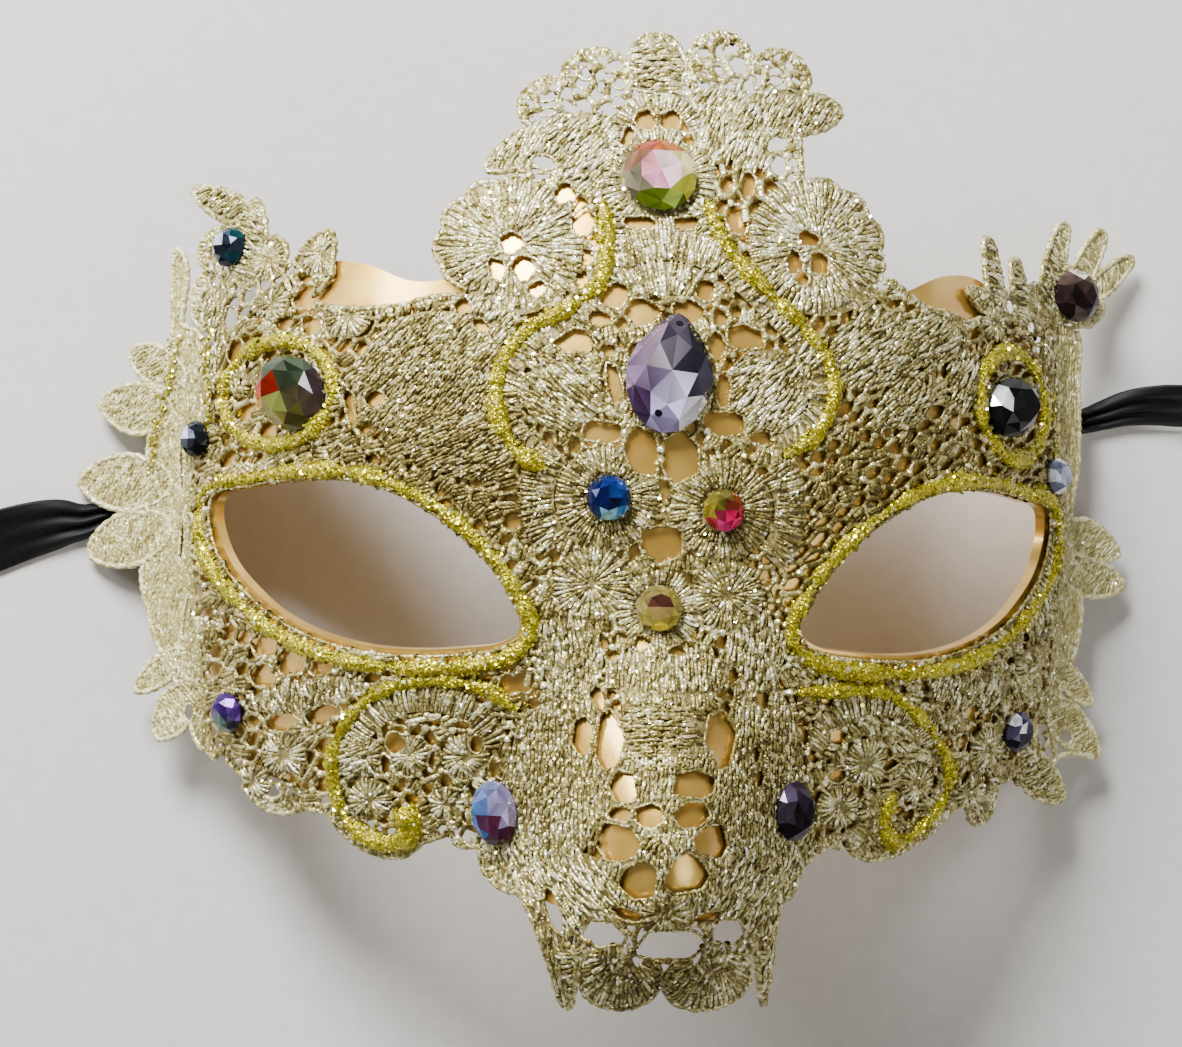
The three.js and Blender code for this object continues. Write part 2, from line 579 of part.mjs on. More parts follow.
// Glitter lines: rims round the eyes, forehead scrolls, temple loops and cheek scrolls.
const rimSteps = 34;
const scrollPaths = {
  left: points([
    [-9, 56.5], [-8.6, 50], [-9.4, 45], [-14, 40.6], [-20, 37.4], [-23.6, 32], [-24, 26], [-21.6, 20.6],
    [-17.4, 17.6],
  ]),
  right: points([
    [6, 57], [8, 52], [11, 47.6], [16, 42.6], [20, 38.6], [23.6, 34], [24.5, 30], [23, 25], [20.4, 22],
    [17, 20],
  ]),
};
const curlPaths = {
  left: points([
    [-20.2, -17], [-24.6, -14.2], [-30, -13], [-35.4, -13.2],
    [-40, -15], [-44, -18.6], [-46.2, -23.4], [-46.4, -28.4],
    [-44.6, -33.6], [-41, -36.8], [-37, -37.4], [-34.8, -35], [-36.4, -31.8],
  ]),
  right: points([
    [19.8, -14], [24, -13.8], [29, -13.4], [33, -13.8],
    [37, -15.6], [41, -18.6], [44.6, -22.6], [46.4, -27],
    [45, -31.4], [41.6, -34.6], [37.6, -36.6], [35.4, -34], [36.4, -29],
  ]),
};
const temples = {
  left: { x: -55.8, y: 30.3, rx: 8.5, ry: 7.9 },
  right: { x: 56.8, y: 30.8, rx: 7.4, ry: 8.6 },
};
for (const side of ["left", "right"]) {
  const rim = inset(eyes[side], -rimOut);
  const corner = rim.reduce((far, p, i) => (Math.abs(p.x) > Math.abs(rim[far].x) ? i : far), 0);
  const opened = [...rim.slice(corner), ...rim.slice(0, corner)];
  const end = opened[0].clone().lerp(opened[opened.length - 1], 0.3);
  addPart(`glitter_eye_${side}`, glitterLine(spline([...opened, end], rimSteps, false)), glitterGold);
  addPart(`glitter_scroll_${side}`, glitterLine(spline(scrollPaths[side], 13, false)), glitterGold);
  addPart(`glitter_curl_${side}`, glitterLine(spline(curlPaths[side], 17, false)), glitterGold);
  const loop = oval(temples[side], 18);
  loop.push(loop[17].clone().lerp(loop[0], 0.8));
  addPart(`glitter_temple_${side}`, glitterLine(loop), glitterGold);
}

// Stones: half sizes across and along, height, turn, number of sides and pear taper.
const stones = table("name x y rx ry high turn sides taper color", [
  ["stone_crown", -0.8, 60.5, 5.2, 5.2, 4, 0, 12, 0, 0xb98f9a],
  ["stone_drop", 0.2, 31.2, 6.4, 8.8, 4.2, -8, 12, 0.45, 0x8f7fa0],
  ["stone_blue", -8.3, 13.5, 3.2, 3.2, 2.6, 0, 10, 0, 0x24419c],
  ["stone_red", 8, 12, 3, 3, 2.6, 0, 10, 0, 0xc02848],
  ["stone_bridge", -0.8, -2.4, 3.3, 3.3, 2.6, 0, 10, 0, 0xb9a13a],
  ["stone_temple_left", -55, 30.5, 6.8, 4.9, 4.4, 0, 12, 0, 0x4d5434],
  ["stone_temple_right", 56.6, 30.6, 6.8, 4.9, 4.4, 0, 12, 0, 0x24242a],
  ["stone_corner_left", -65, 54, 2.6, 2.6, 2.2, 0, 8, 0, 0x2c3038],
  ["stone_corner_right", 72.4, 51.6, 3.2, 3.2, 2.4, 0, 8, 0, 0x2e2a30],
  ["stone_eye_left", -69.8, 23.6, 2.6, 2.6, 2.2, 0, 8, 0, 0x2b2c36],
  ["stone_eye_right", 69.6, 22, 2.6, 2.6, 2.2, 0, 8, 0, 0xc8ccd8],
  ["stone_cheek_left", -63.4, -18.4, 2.6, 2.6, 2.2, 0, 8, 0, 0x5a4a78],
  ["stone_cheek_right", 60.4, -20, 2.6, 2.6, 2.2, 0, 8, 0, 0x5c5468],
  ["stone_nose_left", -23.2, -31.8, 3.6, 4.8, 2.8, 0, 10, 0, 0x4a5a86],
  ["stone_nose_right", 20.4, -32.2, 3.6, 4.8, 2.8, 0, 10, 0, 0x2a2834],
]);
for (const { name, x, y, rx, ry, high, turn, sides, taper, color } of stones) {
  const profile = [[0, 0], [0.9, 0], [1, 0.34 * high], [0.58, high], [0, high]];
  const gem = closed(new THREE.LatheGeometry(profile.map(([r, h]) => new THREE.Vector2(r, h)), sides));
  gem.rotateX(Math.PI / 2);
  const corner = gem.getAttribute("position");
  for (let i = 0; i < corner.count; i += 1) {
    const v = corner.getY(i);
    const narrow = 1 - taper * Math.max(0, v) ** 1.5;
    corner.setXY(i, corner.getX(i) * rx * narrow, v * ry);
  }
  const up = surfaceNormal(laceTop, x, y, 0.5 * rx);
  const centre = new THREE.Vector3(x, y, facetHeight(laceTop, x, y));
  const across = new THREE.Vector3(0, 1, 0).cross(up).normalize();
  const frame = new THREE.Matrix4().makeBasis(across, up.clone().cross(across), up);
  frame.multiply(new THREE.Matrix4().makeRotationZ(THREE.MathUtils.degToRad(turn)));
  let reach = 0;
  for (let k = 0; k < 96; k += 1) {
    const r = 0.25 * (1 + (k % 4));
    const t = (k / 96) * 2 * Math.PI;
    const p = new THREE.Vector3(r * rx * Math.cos(t), r * ry * Math.sin(t), 0);
    p.applyMatrix4(frame).add(centre);
    p.z = facetHeight(laceTop, p.x, p.y);
    reach = Math.max(reach, p.sub(centre).dot(up));
  }
  const mesh = addPart(name, closed(gem), { color, roughness: 0.1, metalness: 0.1 });
  mesh.quaternion.setFromRotationMatrix(frame);
  mesh.position.copy(centre).addScaledVector(up, reach + stoneSeat);
}

// Ribbon ties: held between shell and lace at the temple, then lying out on the table to a plain cut end.
const ribbonProfile = table("out up", [
  [71.6, 8], [73.3, 4.4], [75, 1.9], [77.2, 0.85], [80, 0.62],
  [95, 0.62], [110, 0.62], [124, 0.62], [136, 0.62],
]);
const ribbonRun = { left: { y: 13.5, drift: -0.26 }, right: { y: 28, drift: 0.17 } };
const ribbonSection = [
  [-ribbonWidth / 2, -ribbonThick / 2], [-ribbonWidth / 2, ribbonThick / 2],
  [ribbonWidth / 2, ribbonThick / 2], [ribbonWidth / 2, -ribbonThick / 2],
];
for (const side of ["left", "right"]) {
  const hand = side === "left" ? -1 : 1;
  const { y, drift } = ribbonRun[side];
  const start = ribbonProfile[3].out;
  const places = ribbonProfile.map(({ out, up }) => {
    const run = Math.max(0, out - start);
    return new THREE.Vector3(hand * out, y + drift * run, up);
  });
  const stations = places.map((place, i) => {
    const before = places[Math.max(0, i - 1)];
    const after = places[Math.min(places.length - 1, i + 1)];
    const along = after.clone().sub(before).normalize();
    const across = new THREE.Vector3(0, 0, 1).cross(along).normalize();
    return { place, across, up: along.clone().cross(across).normalize() };
  });
  addPart(`ribbon_${side}`, sweep(stations, ribbonSection), satinBlack);
}

// The origin is under the middle of the mask, without its ties, on the table.
const bounds = new THREE.Box3();
for (const mesh of parts.children) {
  if (!mesh.name.startsWith("ribbon")) bounds.expandByObject(mesh);
}
const middle = bounds.getCenter(new THREE.Vector3());
parts.position.set(-middle.x, -middle.y, -bounds.min.z);

const mask = new THREE.Group();
mask.add(parts);
mask.updateMatrixWorld(true);

export default mask;
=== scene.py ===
import math

import bmesh
import bpy
import numpy as np
from mathutils import Matrix, Vector
from mathutils.bvhtree import BVHTree
from mathutils.geometry import delaunay_2d_cdt


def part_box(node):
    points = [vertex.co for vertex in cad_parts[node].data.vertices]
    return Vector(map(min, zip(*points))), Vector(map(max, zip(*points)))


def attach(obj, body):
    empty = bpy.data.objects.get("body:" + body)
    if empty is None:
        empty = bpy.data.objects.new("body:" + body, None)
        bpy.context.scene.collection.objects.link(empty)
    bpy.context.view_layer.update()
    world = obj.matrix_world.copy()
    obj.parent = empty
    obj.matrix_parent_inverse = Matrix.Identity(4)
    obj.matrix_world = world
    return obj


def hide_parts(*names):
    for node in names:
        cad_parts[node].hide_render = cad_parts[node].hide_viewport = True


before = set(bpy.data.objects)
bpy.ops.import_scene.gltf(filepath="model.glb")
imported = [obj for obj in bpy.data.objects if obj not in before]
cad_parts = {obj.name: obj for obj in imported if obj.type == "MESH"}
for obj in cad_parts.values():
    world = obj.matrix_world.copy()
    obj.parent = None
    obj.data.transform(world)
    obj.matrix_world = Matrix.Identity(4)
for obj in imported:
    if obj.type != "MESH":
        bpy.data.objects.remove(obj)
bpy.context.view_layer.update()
scene = bpy.context.scene
mm = 0.001
chance = np.random.default_rng(7)
print("frame:", len(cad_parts), "solids")

# plan millimetres to the frame: the shell's middle line and its crown point fix the shift
crownPoint = 73
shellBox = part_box("mask_shell")
planShift = np.array([(shellBox[0].x + shellBox[1].x) / 2, shellBox[1].y - crownPoint * mm, 0.0])

# camera over the mask, a little to the left, as the photo was taken; millimetres and degrees
cameraSet = {"target": (-10.7, 9.8, 62), "away": 420, "yaw": -4.8, "pitch": 2.0, "roll": 0.75,
             "lens": 89.54}


def makeCamera(look):
    data = bpy.data.cameras.new("camera")
    data.sensor_fit = "HORIZONTAL"
    data.sensor_width = 36
    data.lens = look["lens"]
    data.clip_start = 0.01
    camera = bpy.data.objects.new("camera", data)
    turn = Matrix.Identity(3)
    for axis, key in (("Y", "yaw"), ("X", "pitch"), ("Z", "roll")):
        turn = turn @ Matrix.Rotation(math.radians(look[key]), 3, axis)
    place = Vector(look["target"]) * mm + Vector(planShift) + turn.col[2] * look["away"] * mm
    camera.matrix_world = Matrix.Translation(place) @ turn.to_4x4()
    scene.collection.objects.link(camera)
    scene.camera = camera


makeCamera(cameraSet)


def linear(text):  # sRGB hex to linear colour
    parts = [int(text[i:i + 2], 16) / 255 for i in (1, 3, 5)]
    return [c / 12.92 if c <= 0.04045 else ((c + 0.055) / 1.055) ** 2.4 for c in parts] + [1.0]


def newMaterial(name):
    material = bpy.data.materials.new(name)
    material.use_nodes = True
    tree = material.node_tree
    return material, tree, tree.nodes["Principled BSDF"]


def addNode(tree, kind, settings=None, links=None):
    node = tree.nodes.new("ShaderNode" + kind)
    for key, value in (settings or {}).items():
        if key == "stops":
            ramp = node.color_ramp
            while len(ramp.elements) < len(value):
                ramp.elements.new(1.0)
            for element, (place, color) in zip(ramp.elements, value):
                element.position, element.color = place, linear(color)
        elif isinstance(key, int) or key in node.inputs:
            node.inputs[key].default_value = value
        else:
            setattr(node, key, value)
    for key, source in (links or {}).items():
        tree.links.new(source, node.inputs[key])
    return node


def setShader(shader, values, links):
    for key, value in values.items():
        shader.inputs[key].default_value = value
    for key, source in links.items():
        shader.id_data.links.new(source, shader.inputs[key])


# satin gold paint on thin moulded plastic: warm metal, cloudy, with a soft wide shine
goldPaint, tree, shader = newMaterial("satin_gold_paint")
place = addNode(tree, "TexCoord").outputs["Object"]
cloud = addNode(tree, "TexNoise", {"Scale": 1 / (7 * mm), "Detail": 4.0}, {"Vector": place})
grain = addNode(tree, "TexNoise", {"Scale": 1 / (0.6 * mm), "Detail": 2.0}, {"Vector": place})
tint = addNode(tree, "ValToRGB", {"stops": [(0.3, "#d09e3e"), (0.7, "#eac262")]},
               {"Fac": cloud.outputs["Fac"]})
rough = addNode(tree, "MapRange", {"To Min": 0.24, "To Max": 0.38}, {"Value": cloud.outputs["Fac"]})
bump = addNode(tree, "Bump", {"Strength": 0.12, "Distance": 0.1 * mm}, {"Height": grain.outputs["Fac"]})
setShader(shader, {"Metallic": 0.75, "Coat Weight": 0.8, "Coat Roughness": 0.12}, {
    "Base Color": tint.outputs["Color"], "Roughness": rough.outputs["Result"],
    "Normal": bump.outputs["Normal"]})

# stiffened cloth under the embroidery: dull khaki weave, a little darker than the stitches on it, as
# painted shade between them
laceCloth, tree, shader = newMaterial("stiffened_lace_cloth")
place = addNode(tree, "TexCoord").outputs["Object"]
pale = addNode(tree, "Attribute", {"attribute_name": "pale"})
weave = addNode(tree, "TexVoronoi", {"Scale": 1 / (0.8 * mm)}, {"Vector": place})
dull = addNode(tree, "ValToRGB", {"stops": [(0.1, "#a89a5e"), (0.6, "#786b3a")]},
               {"Fac": weave.outputs["Distance"]})
cream = addNode(tree, "ValToRGB", {"stops": [(0.1, "#ccc288"), (0.6, "#a0965a")]},
                {"Fac": weave.outputs["Distance"]})
tint = addNode(tree, "Mix", {"data_type": "RGBA"}, {0: pale.outputs["Fac"], 6: dull.outputs["Color"],
                                                    7: cream.outputs["Color"]})
bump = addNode(tree, "Bump", {"Strength": 0.8, "Distance": 0.2 * mm},
               {"Height": weave.outputs["Distance"]})
setShader(shader, {"Metallic": 0.3, "Roughness": 0.55}, {
    "Base Color": tint.outputs[2], "Normal": bump.outputs["Normal"]})

# metallic embroidery thread: khaki silver-gold film twisted round a core; its colour swings grain by grain
# up to near white, partly random tone and partly painted glints
laceThread, tree, shader = newMaterial("metallic_embroidery_thread")
place = addNode(tree, "TexCoord").outputs["Object"]
shade = addNode(tree, "Attribute", {"attribute_name": "shade"})
pale = addNode(tree, "Attribute", {"attribute_name": "pale"})
grain = addNode(tree, "TexVoronoi", {"Scale": 1 / (0.5 * mm)}, {"Vector": place})
speck = addNode(tree, "SeparateColor", {}, {"Color": grain.outputs["Color"]})
calm = addNode(tree, "MapRange", {"To Min": 0.6, "To Max": 0.4}, {"Value": pale.outputs["Fac"]})
# lighter and darker grains: partly random tone, partly painted glints
grainGlint = addNode(tree, "Math", {"operation": "SUBTRACT", 1: 0.5}, {0: speck.outputs["Red"]})
drift = addNode(tree, "TexNoise", {"Scale": 1 / (2.6 * mm), "Detail": 2.0}, {"Vector": place})
patch = addNode(tree, "MapRange", {"From Min": 0.3, "From Max": 0.7, "To Min": -0.16, "To Max": 0.16},
                {"Value": drift.outputs["Fac"]})
body = addNode(tree, "Math", {"operation": "ADD"}, {0: shade.outputs["Fac"], 1: patch.outputs["Result"]})
light = addNode(tree, "Math", {"operation": "MULTIPLY_ADD"}, {0: grainGlint.outputs[0], 1: calm.outputs[0],
                                                              2: body.outputs[0]})
dull = addNode(tree, "ValToRGB", {"stops": [(0.0, "#5e4f22"), (0.35, "#968a4a"), (0.7, "#cbc186"),
                                            (1.0, "#fcf8d8")]}, {"Fac": light.outputs[0]})
cream = addNode(tree, "ValToRGB", {"stops": [(0.0, "#807640"), (0.5, "#b8ae72"), (1.0, "#ece6b8")]},
                {"Fac": light.outputs[0]})
tint = addNode(tree, "Mix", {"data_type": "RGBA"}, {0: pale.outputs["Fac"], 6: dull.outputs["Color"],
                                                    7: cream.outputs["Color"]})
metal = addNode(tree, "MapRange", {"To Min": 0.6, "To Max": 0.12}, {"Value": pale.outputs["Fac"]})
rough = addNode(tree, "MapRange", {"To Min": 0.24, "To Max": 0.5}, {"Value": speck.outputs["Green"]})
bump = addNode(tree, "Bump", {"Strength": 0.9, "Distance": 0.2 * mm},
               {"Height": grain.outputs["Distance"]})
setShader(shader, {}, {
    "Base Color": tint.outputs[2], "Metallic": metal.outputs["Result"],
    "Roughness": rough.outputs["Result"], "Normal": bump.outputs["Normal"]})

# bright metal film flakes: mirror-like specks in the thread and in the glitter glue
filmFlake, tree, shader = newMaterial("metal_film_flakes")
shade = addNode(tree, "Attribute", {"attribute_name": "shade"})
tint = addNode(tree, "ValToRGB", {"stops": [(0.0, "#a29a14"), (0.35, "#d4ca2c"), (0.6, "#f8ee74"),
                                            (0.61, "#d6cb9c"), (1.0, "#fffbe0")]},
               {"Fac": shade.outputs["Fac"]})
setShader(shader, {"Metallic": 0.8, "Roughness": 0.2}, {"Base Color": tint.outputs["Color"]})

# glitter glue: yellow-green gold grit in clear glue, lumpy and bright
glitterGlue, tree, shader = newMaterial("gold_glitter_glue")
place = addNode(tree, "TexCoord").outputs["Object"]
grit = addNode(tree, "TexVoronoi", {"Scale": 1 / (0.45 * mm)}, {"Vector": place})
tint = addNode(tree, "ValToRGB", {"stops": [(0.0, "#857a0e"), (0.5, "#b6aa20"), (1.0, "#ded244")]},
               {"Fac": grit.outputs["Color"]})
bump = addNode(tree, "Bump", {"Strength": 1.0, "Distance": 0.25 * mm},
               {"Height": grit.outputs["Distance"]})
setShader(shader, {"Metallic": 0.75, "Roughness": 0.32}, {
    "Base Color": tint.outputs["Color"], "Normal": bump.outputs["Normal"]})

# foil-backed cut glass: each facet shows its own set colour, partly the glass's tint and partly painted
# reflections and glints, under a hard clear shine
cutGlass, tree, shader = newMaterial("foil_backed_cut_glass")
facet = addNode(tree, "Attribute", {"attribute_name": "facet"})
setShader(shader, {"Metallic": 0.4, "Roughness": 0.06, "Specular IOR Level": 0.2, "Coat Weight": 0.08,
                   "Coat Roughness": 0.02}, {"Base Color": facet.outputs["Color"]})

# black polyester satin ribbon: fine weft lines across, soft sheen
ribbonSatin, tree, shader = newMaterial("black_satin_ribbon")
strand = addNode(tree, "TexCoord").outputs["UV"]
weft = addNode(tree, "TexWave", {"Scale": 0.314 / 0.5, "bands_direction": "Y"}, {"Vector": strand})
fuzz = addNode(tree, "TexNoise", {"Scale": 1.2, "Detail": 3.0}, {"Vector": strand})
bump = addNode(tree, "Bump", {"Strength": 0.25, "Distance": 0.08 * mm}, {"Height": weft.outputs["Fac"]})
rough = addNode(tree, "MapRange", {"To Min": 0.45, "To Max": 0.65}, {"Value": fuzz.outputs["Fac"]})
tint = addNode(tree, "ValToRGB", {"stops": [(0.3, "#040406"), (0.8, "#0e0e13")]},
               {"Fac": fuzz.outputs["Fac"]})
setShader(shader, {"Specular IOR Level": 0.22}, {
    "Base Color": tint.outputs["Color"], "Roughness": rough.outputs["Result"],
    "Normal": bump.outputs["Normal"]})

# matt pale card under the mask
paleCard, tree, shader = newMaterial("matt_pale_card")
place = addNode(tree, "TexCoord").outputs["Object"]
fibre = addNode(tree, "TexNoise", {"Scale": 1 / (3 * mm), "Detail": 5.0}, {"Vector": place})
tint = addNode(tree, "ValToRGB", {"stops": [(0.3, "#c9c7c4"), (0.7, "#cfcdca")]},
               {"Fac": fibre.outputs["Fac"]})
setShader(shader, {"Roughness": 0.85}, {"Base Color": tint.outputs["Color"]})
print("materials made")


# the face: a wide arch across, a gentle arch down, a nose standing out below the bridge; millimetres
faceForm = {"apex": 62, "halfWidth": 74, "fall": 60, "power": 2.6, "browLine": 18, "rowRadius": 110,
            "noseTop": 2, "noseLength": 42, "noseHeight": 27, "noseHalf": 8.5, "noseSpread": 8.5,
            "noseEase": 0.92, "tipStart": -44, "tipRoll": 3, "tipRun": 12, "tipMost": 1.6, "tipSpread": 9,
            "spreadStart": -40, "spreadRun": 16}
flareForm = {"start": 70, "height": 9, "slope": 0.5, "lowest": 0.9, "highest": 16, "blend": 4,
             "clear": 0.3}


def shellTop(x, y):
    f = faceForm
    t = np.clip((f["noseTop"] - y) / f["noseLength"], 0, 1)
    spread = np.clip((f["spreadStart"] - y) / f["spreadRun"], 0, 1)
    width = f["noseHalf"] + f["noseSpread"] * t + f["tipSpread"] * spread
    roll = f["tipRoll"] * np.clip((f["tipStart"] - y) / f["tipRun"], 0, f["tipMost"]) ** 2
    k = f["noseEase"] * t
    ridge = (f["noseHeight"] * k * k * (3 - 2 * k) - roll) * np.exp(-((x / width) ** 2))
    arch = f["fall"] * (np.abs(x) / f["halfWidth"]) ** f["power"]
    return f["apex"] - arch - (y - f["browLine"]) ** 2 / (2 * f["rowRadius"]) + ridge


def laceLow(x, y):
    f = flareForm
    shell = shellTop(x, y)
    out = np.clip(f["height"] - f["slope"] * (np.abs(x) - f["start"]), f["lowest"], f["highest"])
    return 0.5 * (shell + out + np.hypot(shell - out, f["blend"])) + f["clear"]


tableGap = 0.05  # least height over the table


# points of a plan on a surface, a height off it along its normal; frame metres, with the normals
def lifted(plan, height, surface=laceLow, reach=0.4):
    x, y = plan[..., 0], plan[..., 1]
    dx = (surface(x + reach, y) - surface(x - reach, y)) / (2 * reach)
    dy = (surface(x, y + reach) - surface(x, y - reach)) / (2 * reach)
    normal = np.stack([-dx, -dy, np.ones_like(dx)], -1)
    normal /= np.linalg.norm(normal, axis=-1, keepdims=True)
    points = np.stack([x, y, surface(x, y)], -1) + normal * np.asarray(height, float)[..., None]
    points[..., 2] = np.maximum(points[..., 2], tableGap)
    return points * mm + planShift, normal


def unit(v):
    return v / np.maximum(np.linalg.norm(v, axis=-1, keepdims=True), 1e-9)


def leftOf(way):  # square to each direction of a plan, on its left
    return np.stack([-way[:, 1], way[:, 0]], -1)


# least upward share of a face, length of a side and bend at a corner that count in an outline
outlineSet = {"up": 0.1, "side": 0.03, "bend": 0.04}


# outline and gaps of a solid seen from above, as closed lines of plan millimetres
def cadLoops(node):
    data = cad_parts[node].data
    data.calc_loop_triangles()
    places = np.array([v.co for v in data.vertices])
    corners = np.array([t.vertices for t in data.loop_triangles])
    rounded = np.round(places * 1e6).astype(int)
    _, first, same = np.unique(rounded, axis=0, return_index=True, return_inverse=True)
    places, corners = places[first], same.reshape(-1)[corners]
    a, b, c = (places[corners[:, i]] for i in range(3))
    up = unit(np.cross(b - a, c - a))[:, 2] > outlineSet["up"]
    edges = {(int(t[i]), int(t[(i + 1) % 3])) for t in corners[up] for i in range(3)}
    onward = {}
    for s, e in edges:
        if (e, s) not in edges:
            onward.setdefault(s, []).append(e)
    plan = (places - planShift)[:, :2] / mm
    loops = []
    while onward:
        line, here = [], min(onward)
        while here in onward:
            line.append(here)
            ends = onward[here]
            after = ends.pop()
            if not ends:
                del onward[here]
            here = after
        loop = plan[line]
        loop = loop[np.linalg.norm(loop - np.roll(loop, 1, 0), axis=1) > outlineSet["side"]]
        bend = np.cross(unit(loop - np.roll(loop, 1, 0)), unit(np.roll(loop, -1, 0) - loop))
        loops.append(loop[np.abs(bend) > outlineSet["bend"]])
    return [loop for loop in loops if len(loop) > 2]


def loopArea(loop):
    return 0.5 * np.sum(np.cross(loop, np.roll(loop, -1, 0)))


# even points from p up to q, leaving one way and arriving another
def curvePoints(p, q, leave, reach, step):
    span = np.linalg.norm(q - p)
    count = max(1, round(span / step))
    t = (np.arange(count) / count)[:, None]
    return ((2 * t ** 3 - 3 * t ** 2 + 1) * p + (t ** 3 - 2 * t ** 2 + t) * span * leave
            + (3 * t ** 2 - 2 * t ** 3) * q + (t ** 3 - t ** 2) * span * reach)


notchTurn = -35  # degrees


# even smooth line through a loop's corners; inward notches of an outer edge stay sharp
def softLoop(loop, step):
    ahead = unit(np.roll(loop, -1, 0) - loop)
    behind = np.roll(ahead, 1, 0)
    turn = np.degrees(np.arctan2(np.cross(behind, ahead), np.sum(behind * ahead, 1)))
    sharp = (turn < notchTurn) & (loopArea(loop) > 0)
    slope = unit(ahead + behind)
    line = []
    for i in range(len(loop)):
        j = (i + 1) % len(loop)
        leave = ahead[i] if sharp[i] else slope[i]
        reach = ahead[i] if sharp[j] else slope[j]
        line.append(curvePoints(loop[i], loop[j], leave, reach, step))
    return np.vstack(line)


# which plan points lie inside closed lines and outside the gaps among them, some thousands at a time
def inside(points, loops, batch=4000):
    found = np.zeros(len(points), bool)
    for loop in loops:
        a, b = loop, np.roll(loop, -1, 0)
        for k in range(0, len(points), batch):
            p = points[k:k + batch, None, :]
            spans = (a[None, :, 1] > p[..., 1]) != (b[None, :, 1] > p[..., 1])
            rise = np.where(b[:, 1] == a[:, 1], 1e-9, b[:, 1] - a[:, 1])
            at = a[None, :, 0] + (p[..., 1] - a[None, :, 1]) / rise * (b[:, 0] - a[:, 0])
            found[k:k + batch] ^= (np.sum(spans & (p[..., 0] < at), 1) % 2).astype(bool)
    return found


def nearest(points, others, batch=600):  # distance to the closest of the others, and which one it is
    far, which = np.empty(len(points)), np.empty(len(points), int)
    for k in range(0, len(points), batch):
        gap = np.linalg.norm(points[k:k + batch, None, :] - others[None], axis=2)
        which[k:k + batch] = gap.argmin(1)
        far[k:k + batch] = gap.min(1)
    return far, which


def insideAny(points, shapes):  # which plan points lie in one shape or another
    found = np.zeros(len(points), bool)
    for shape in shapes:
        near = np.all((points > shape.min(0)) & (points < shape.max(0)), 1) & ~found
        if near.any():
            found[near] = inside(points[near], [shape])
    return found


# points of an even triangle grid between two corners
def triangleGrid(low, high, spacing):
    rows = np.arange(low[1], high[1], spacing * 0.866)
    grid = np.stack(np.meshgrid(np.arange(low[0], high[0], spacing), rows), -1)
    grid[1::2, :, 0] += spacing / 2
    return grid.reshape(-1, 2)


rimClear = 0.55  # least distance of an inner point from the rim, as a share of the spacing


# flat triangles that fill a plan but not its gaps, or only the shapes drawn on it
def planFill(loops, spacing, gaps=(), shapes=None):
    lines = list(loops) + list(gaps) + list(shapes or [])
    rim = np.vstack(lines)
    edges, start = [], 0
    for line in lines:
        edges += [(start + i, start + (i + 1) % len(line)) for i in range(len(line))]
        start += len(line)

    def wanted(points):
        keep = inside(points, loops) & ~insideAny(points, gaps)
        return keep if shapes is None else keep & insideAny(points, shapes)

    grid = triangleGrid(rim.min(0), rim.max(0), spacing)
    grid = grid[wanted(grid)]
    if len(grid):
        grid = grid[nearest(grid, rim)[0] > rimClear * spacing]
    made = delaunay_2d_cdt([Vector(p) for p in np.vstack([rim, grid])], edges, [], 0, 1e-4, False)
    flat = np.array([v[:] for v in made[0]])
    faces = np.array(made[2])
    faces = faces[wanted(flat[faces].mean(1))]
    used = np.unique(faces)
    place = np.zeros(len(flat), int)
    place[used] = np.arange(len(used))
    return flat[used], place[faces]


lacePieces = {}


def addObject(data, material, node, slot):  # a piece named as its mesh, in place of a solid
    piece = bpy.data.objects.new(data.name, data)
    scene.collection.objects.link(piece)
    data.materials.clear()
    data.materials.append(material)
    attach(piece, "root")
    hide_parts(node)
    if slot == "lace":
        lacePieces.setdefault(node, []).append(piece)
    return piece


def meshOf(bm, name):
    data = bpy.data.meshes.new(name)
    bm.to_mesh(data)
    bm.free()
    return data


# closed skin of even thickness over a plan, its upper side at a height off a surface
def skin(name, plan, surface, height, thick):
    flat, faces = plan
    points, normals = lifted(flat, np.full(len(flat), height), surface)
    bm = bmesh.new()
    verts = [bm.verts.new(p) for p in points]
    for face in faces:
        bm.faces.new([verts[i] for i in face])
    top = bm.faces[:]
    under = bmesh.ops.duplicate(bm, geom=bm.verts[:] + bm.edges[:] + top)
    pairs = {a: b for a, b in under["vert_map"].items() if a in set(verts)}
    for vert, normal in zip(verts, normals):
        low = pairs[vert]
        low.co -= Vector(normal) * thick * mm
        low.co.z = max(low.co.z, 0.0)
    lower = [f for f in under["geom"] if isinstance(f, bmesh.types.BMFace)]
    bmesh.ops.reverse_faces(bm, faces=lower)
    rims = [e for e in bm.edges if e.is_boundary]
    for edge in [e for e in rims if e.verts[0] in pairs and e.verts[1] in pairs]:
        a, b = edge.verts
        if edge.link_loops[0].vert is not a:
            a, b = b, a
        bm.faces.new([b, a, pairs[a], pairs[b]])
    bm.normal_update()
    data = meshOf(bm, name)
    data.shade_smooth()
    data.set_sharp_from_angle(angle=math.radians(45))
    return data


def openLine(points, step):  # even points along an open line of plan corners
    points = np.asarray(points, float)
    ahead = np.diff(points, axis=0)
    slope = unit(np.vstack([ahead[:1], unit(ahead[1:]) + unit(ahead[:-1]), ahead[-1:]]))
    line = [curvePoints(*points[i:i + 2], *slope[i:i + 2], step) for i in range(len(ahead))]
    return np.vstack(line + [points[-1:]])


# shell: the CAD outline drawn smooth, with both eye openings
shellSet = {"spacing": 2.2, "step": 0.7, "thick": 1.5, "browEdge": {28: 46, 36: 45.4, 44: 48.8},
            "browReach": 0.4, "browFrom": 45}


def shellOutline(loop):  # the top edge over each brow falls evenly towards the crown
    for out, height in shellSet["browEdge"].items():
        near = np.abs(np.abs(loop[:, 0]) - out) < shellSet["browReach"]
        loop[near & (loop[:, 1] > shellSet["browFrom"]), 1] = height
    return softLoop(loop, shellSet["step"])


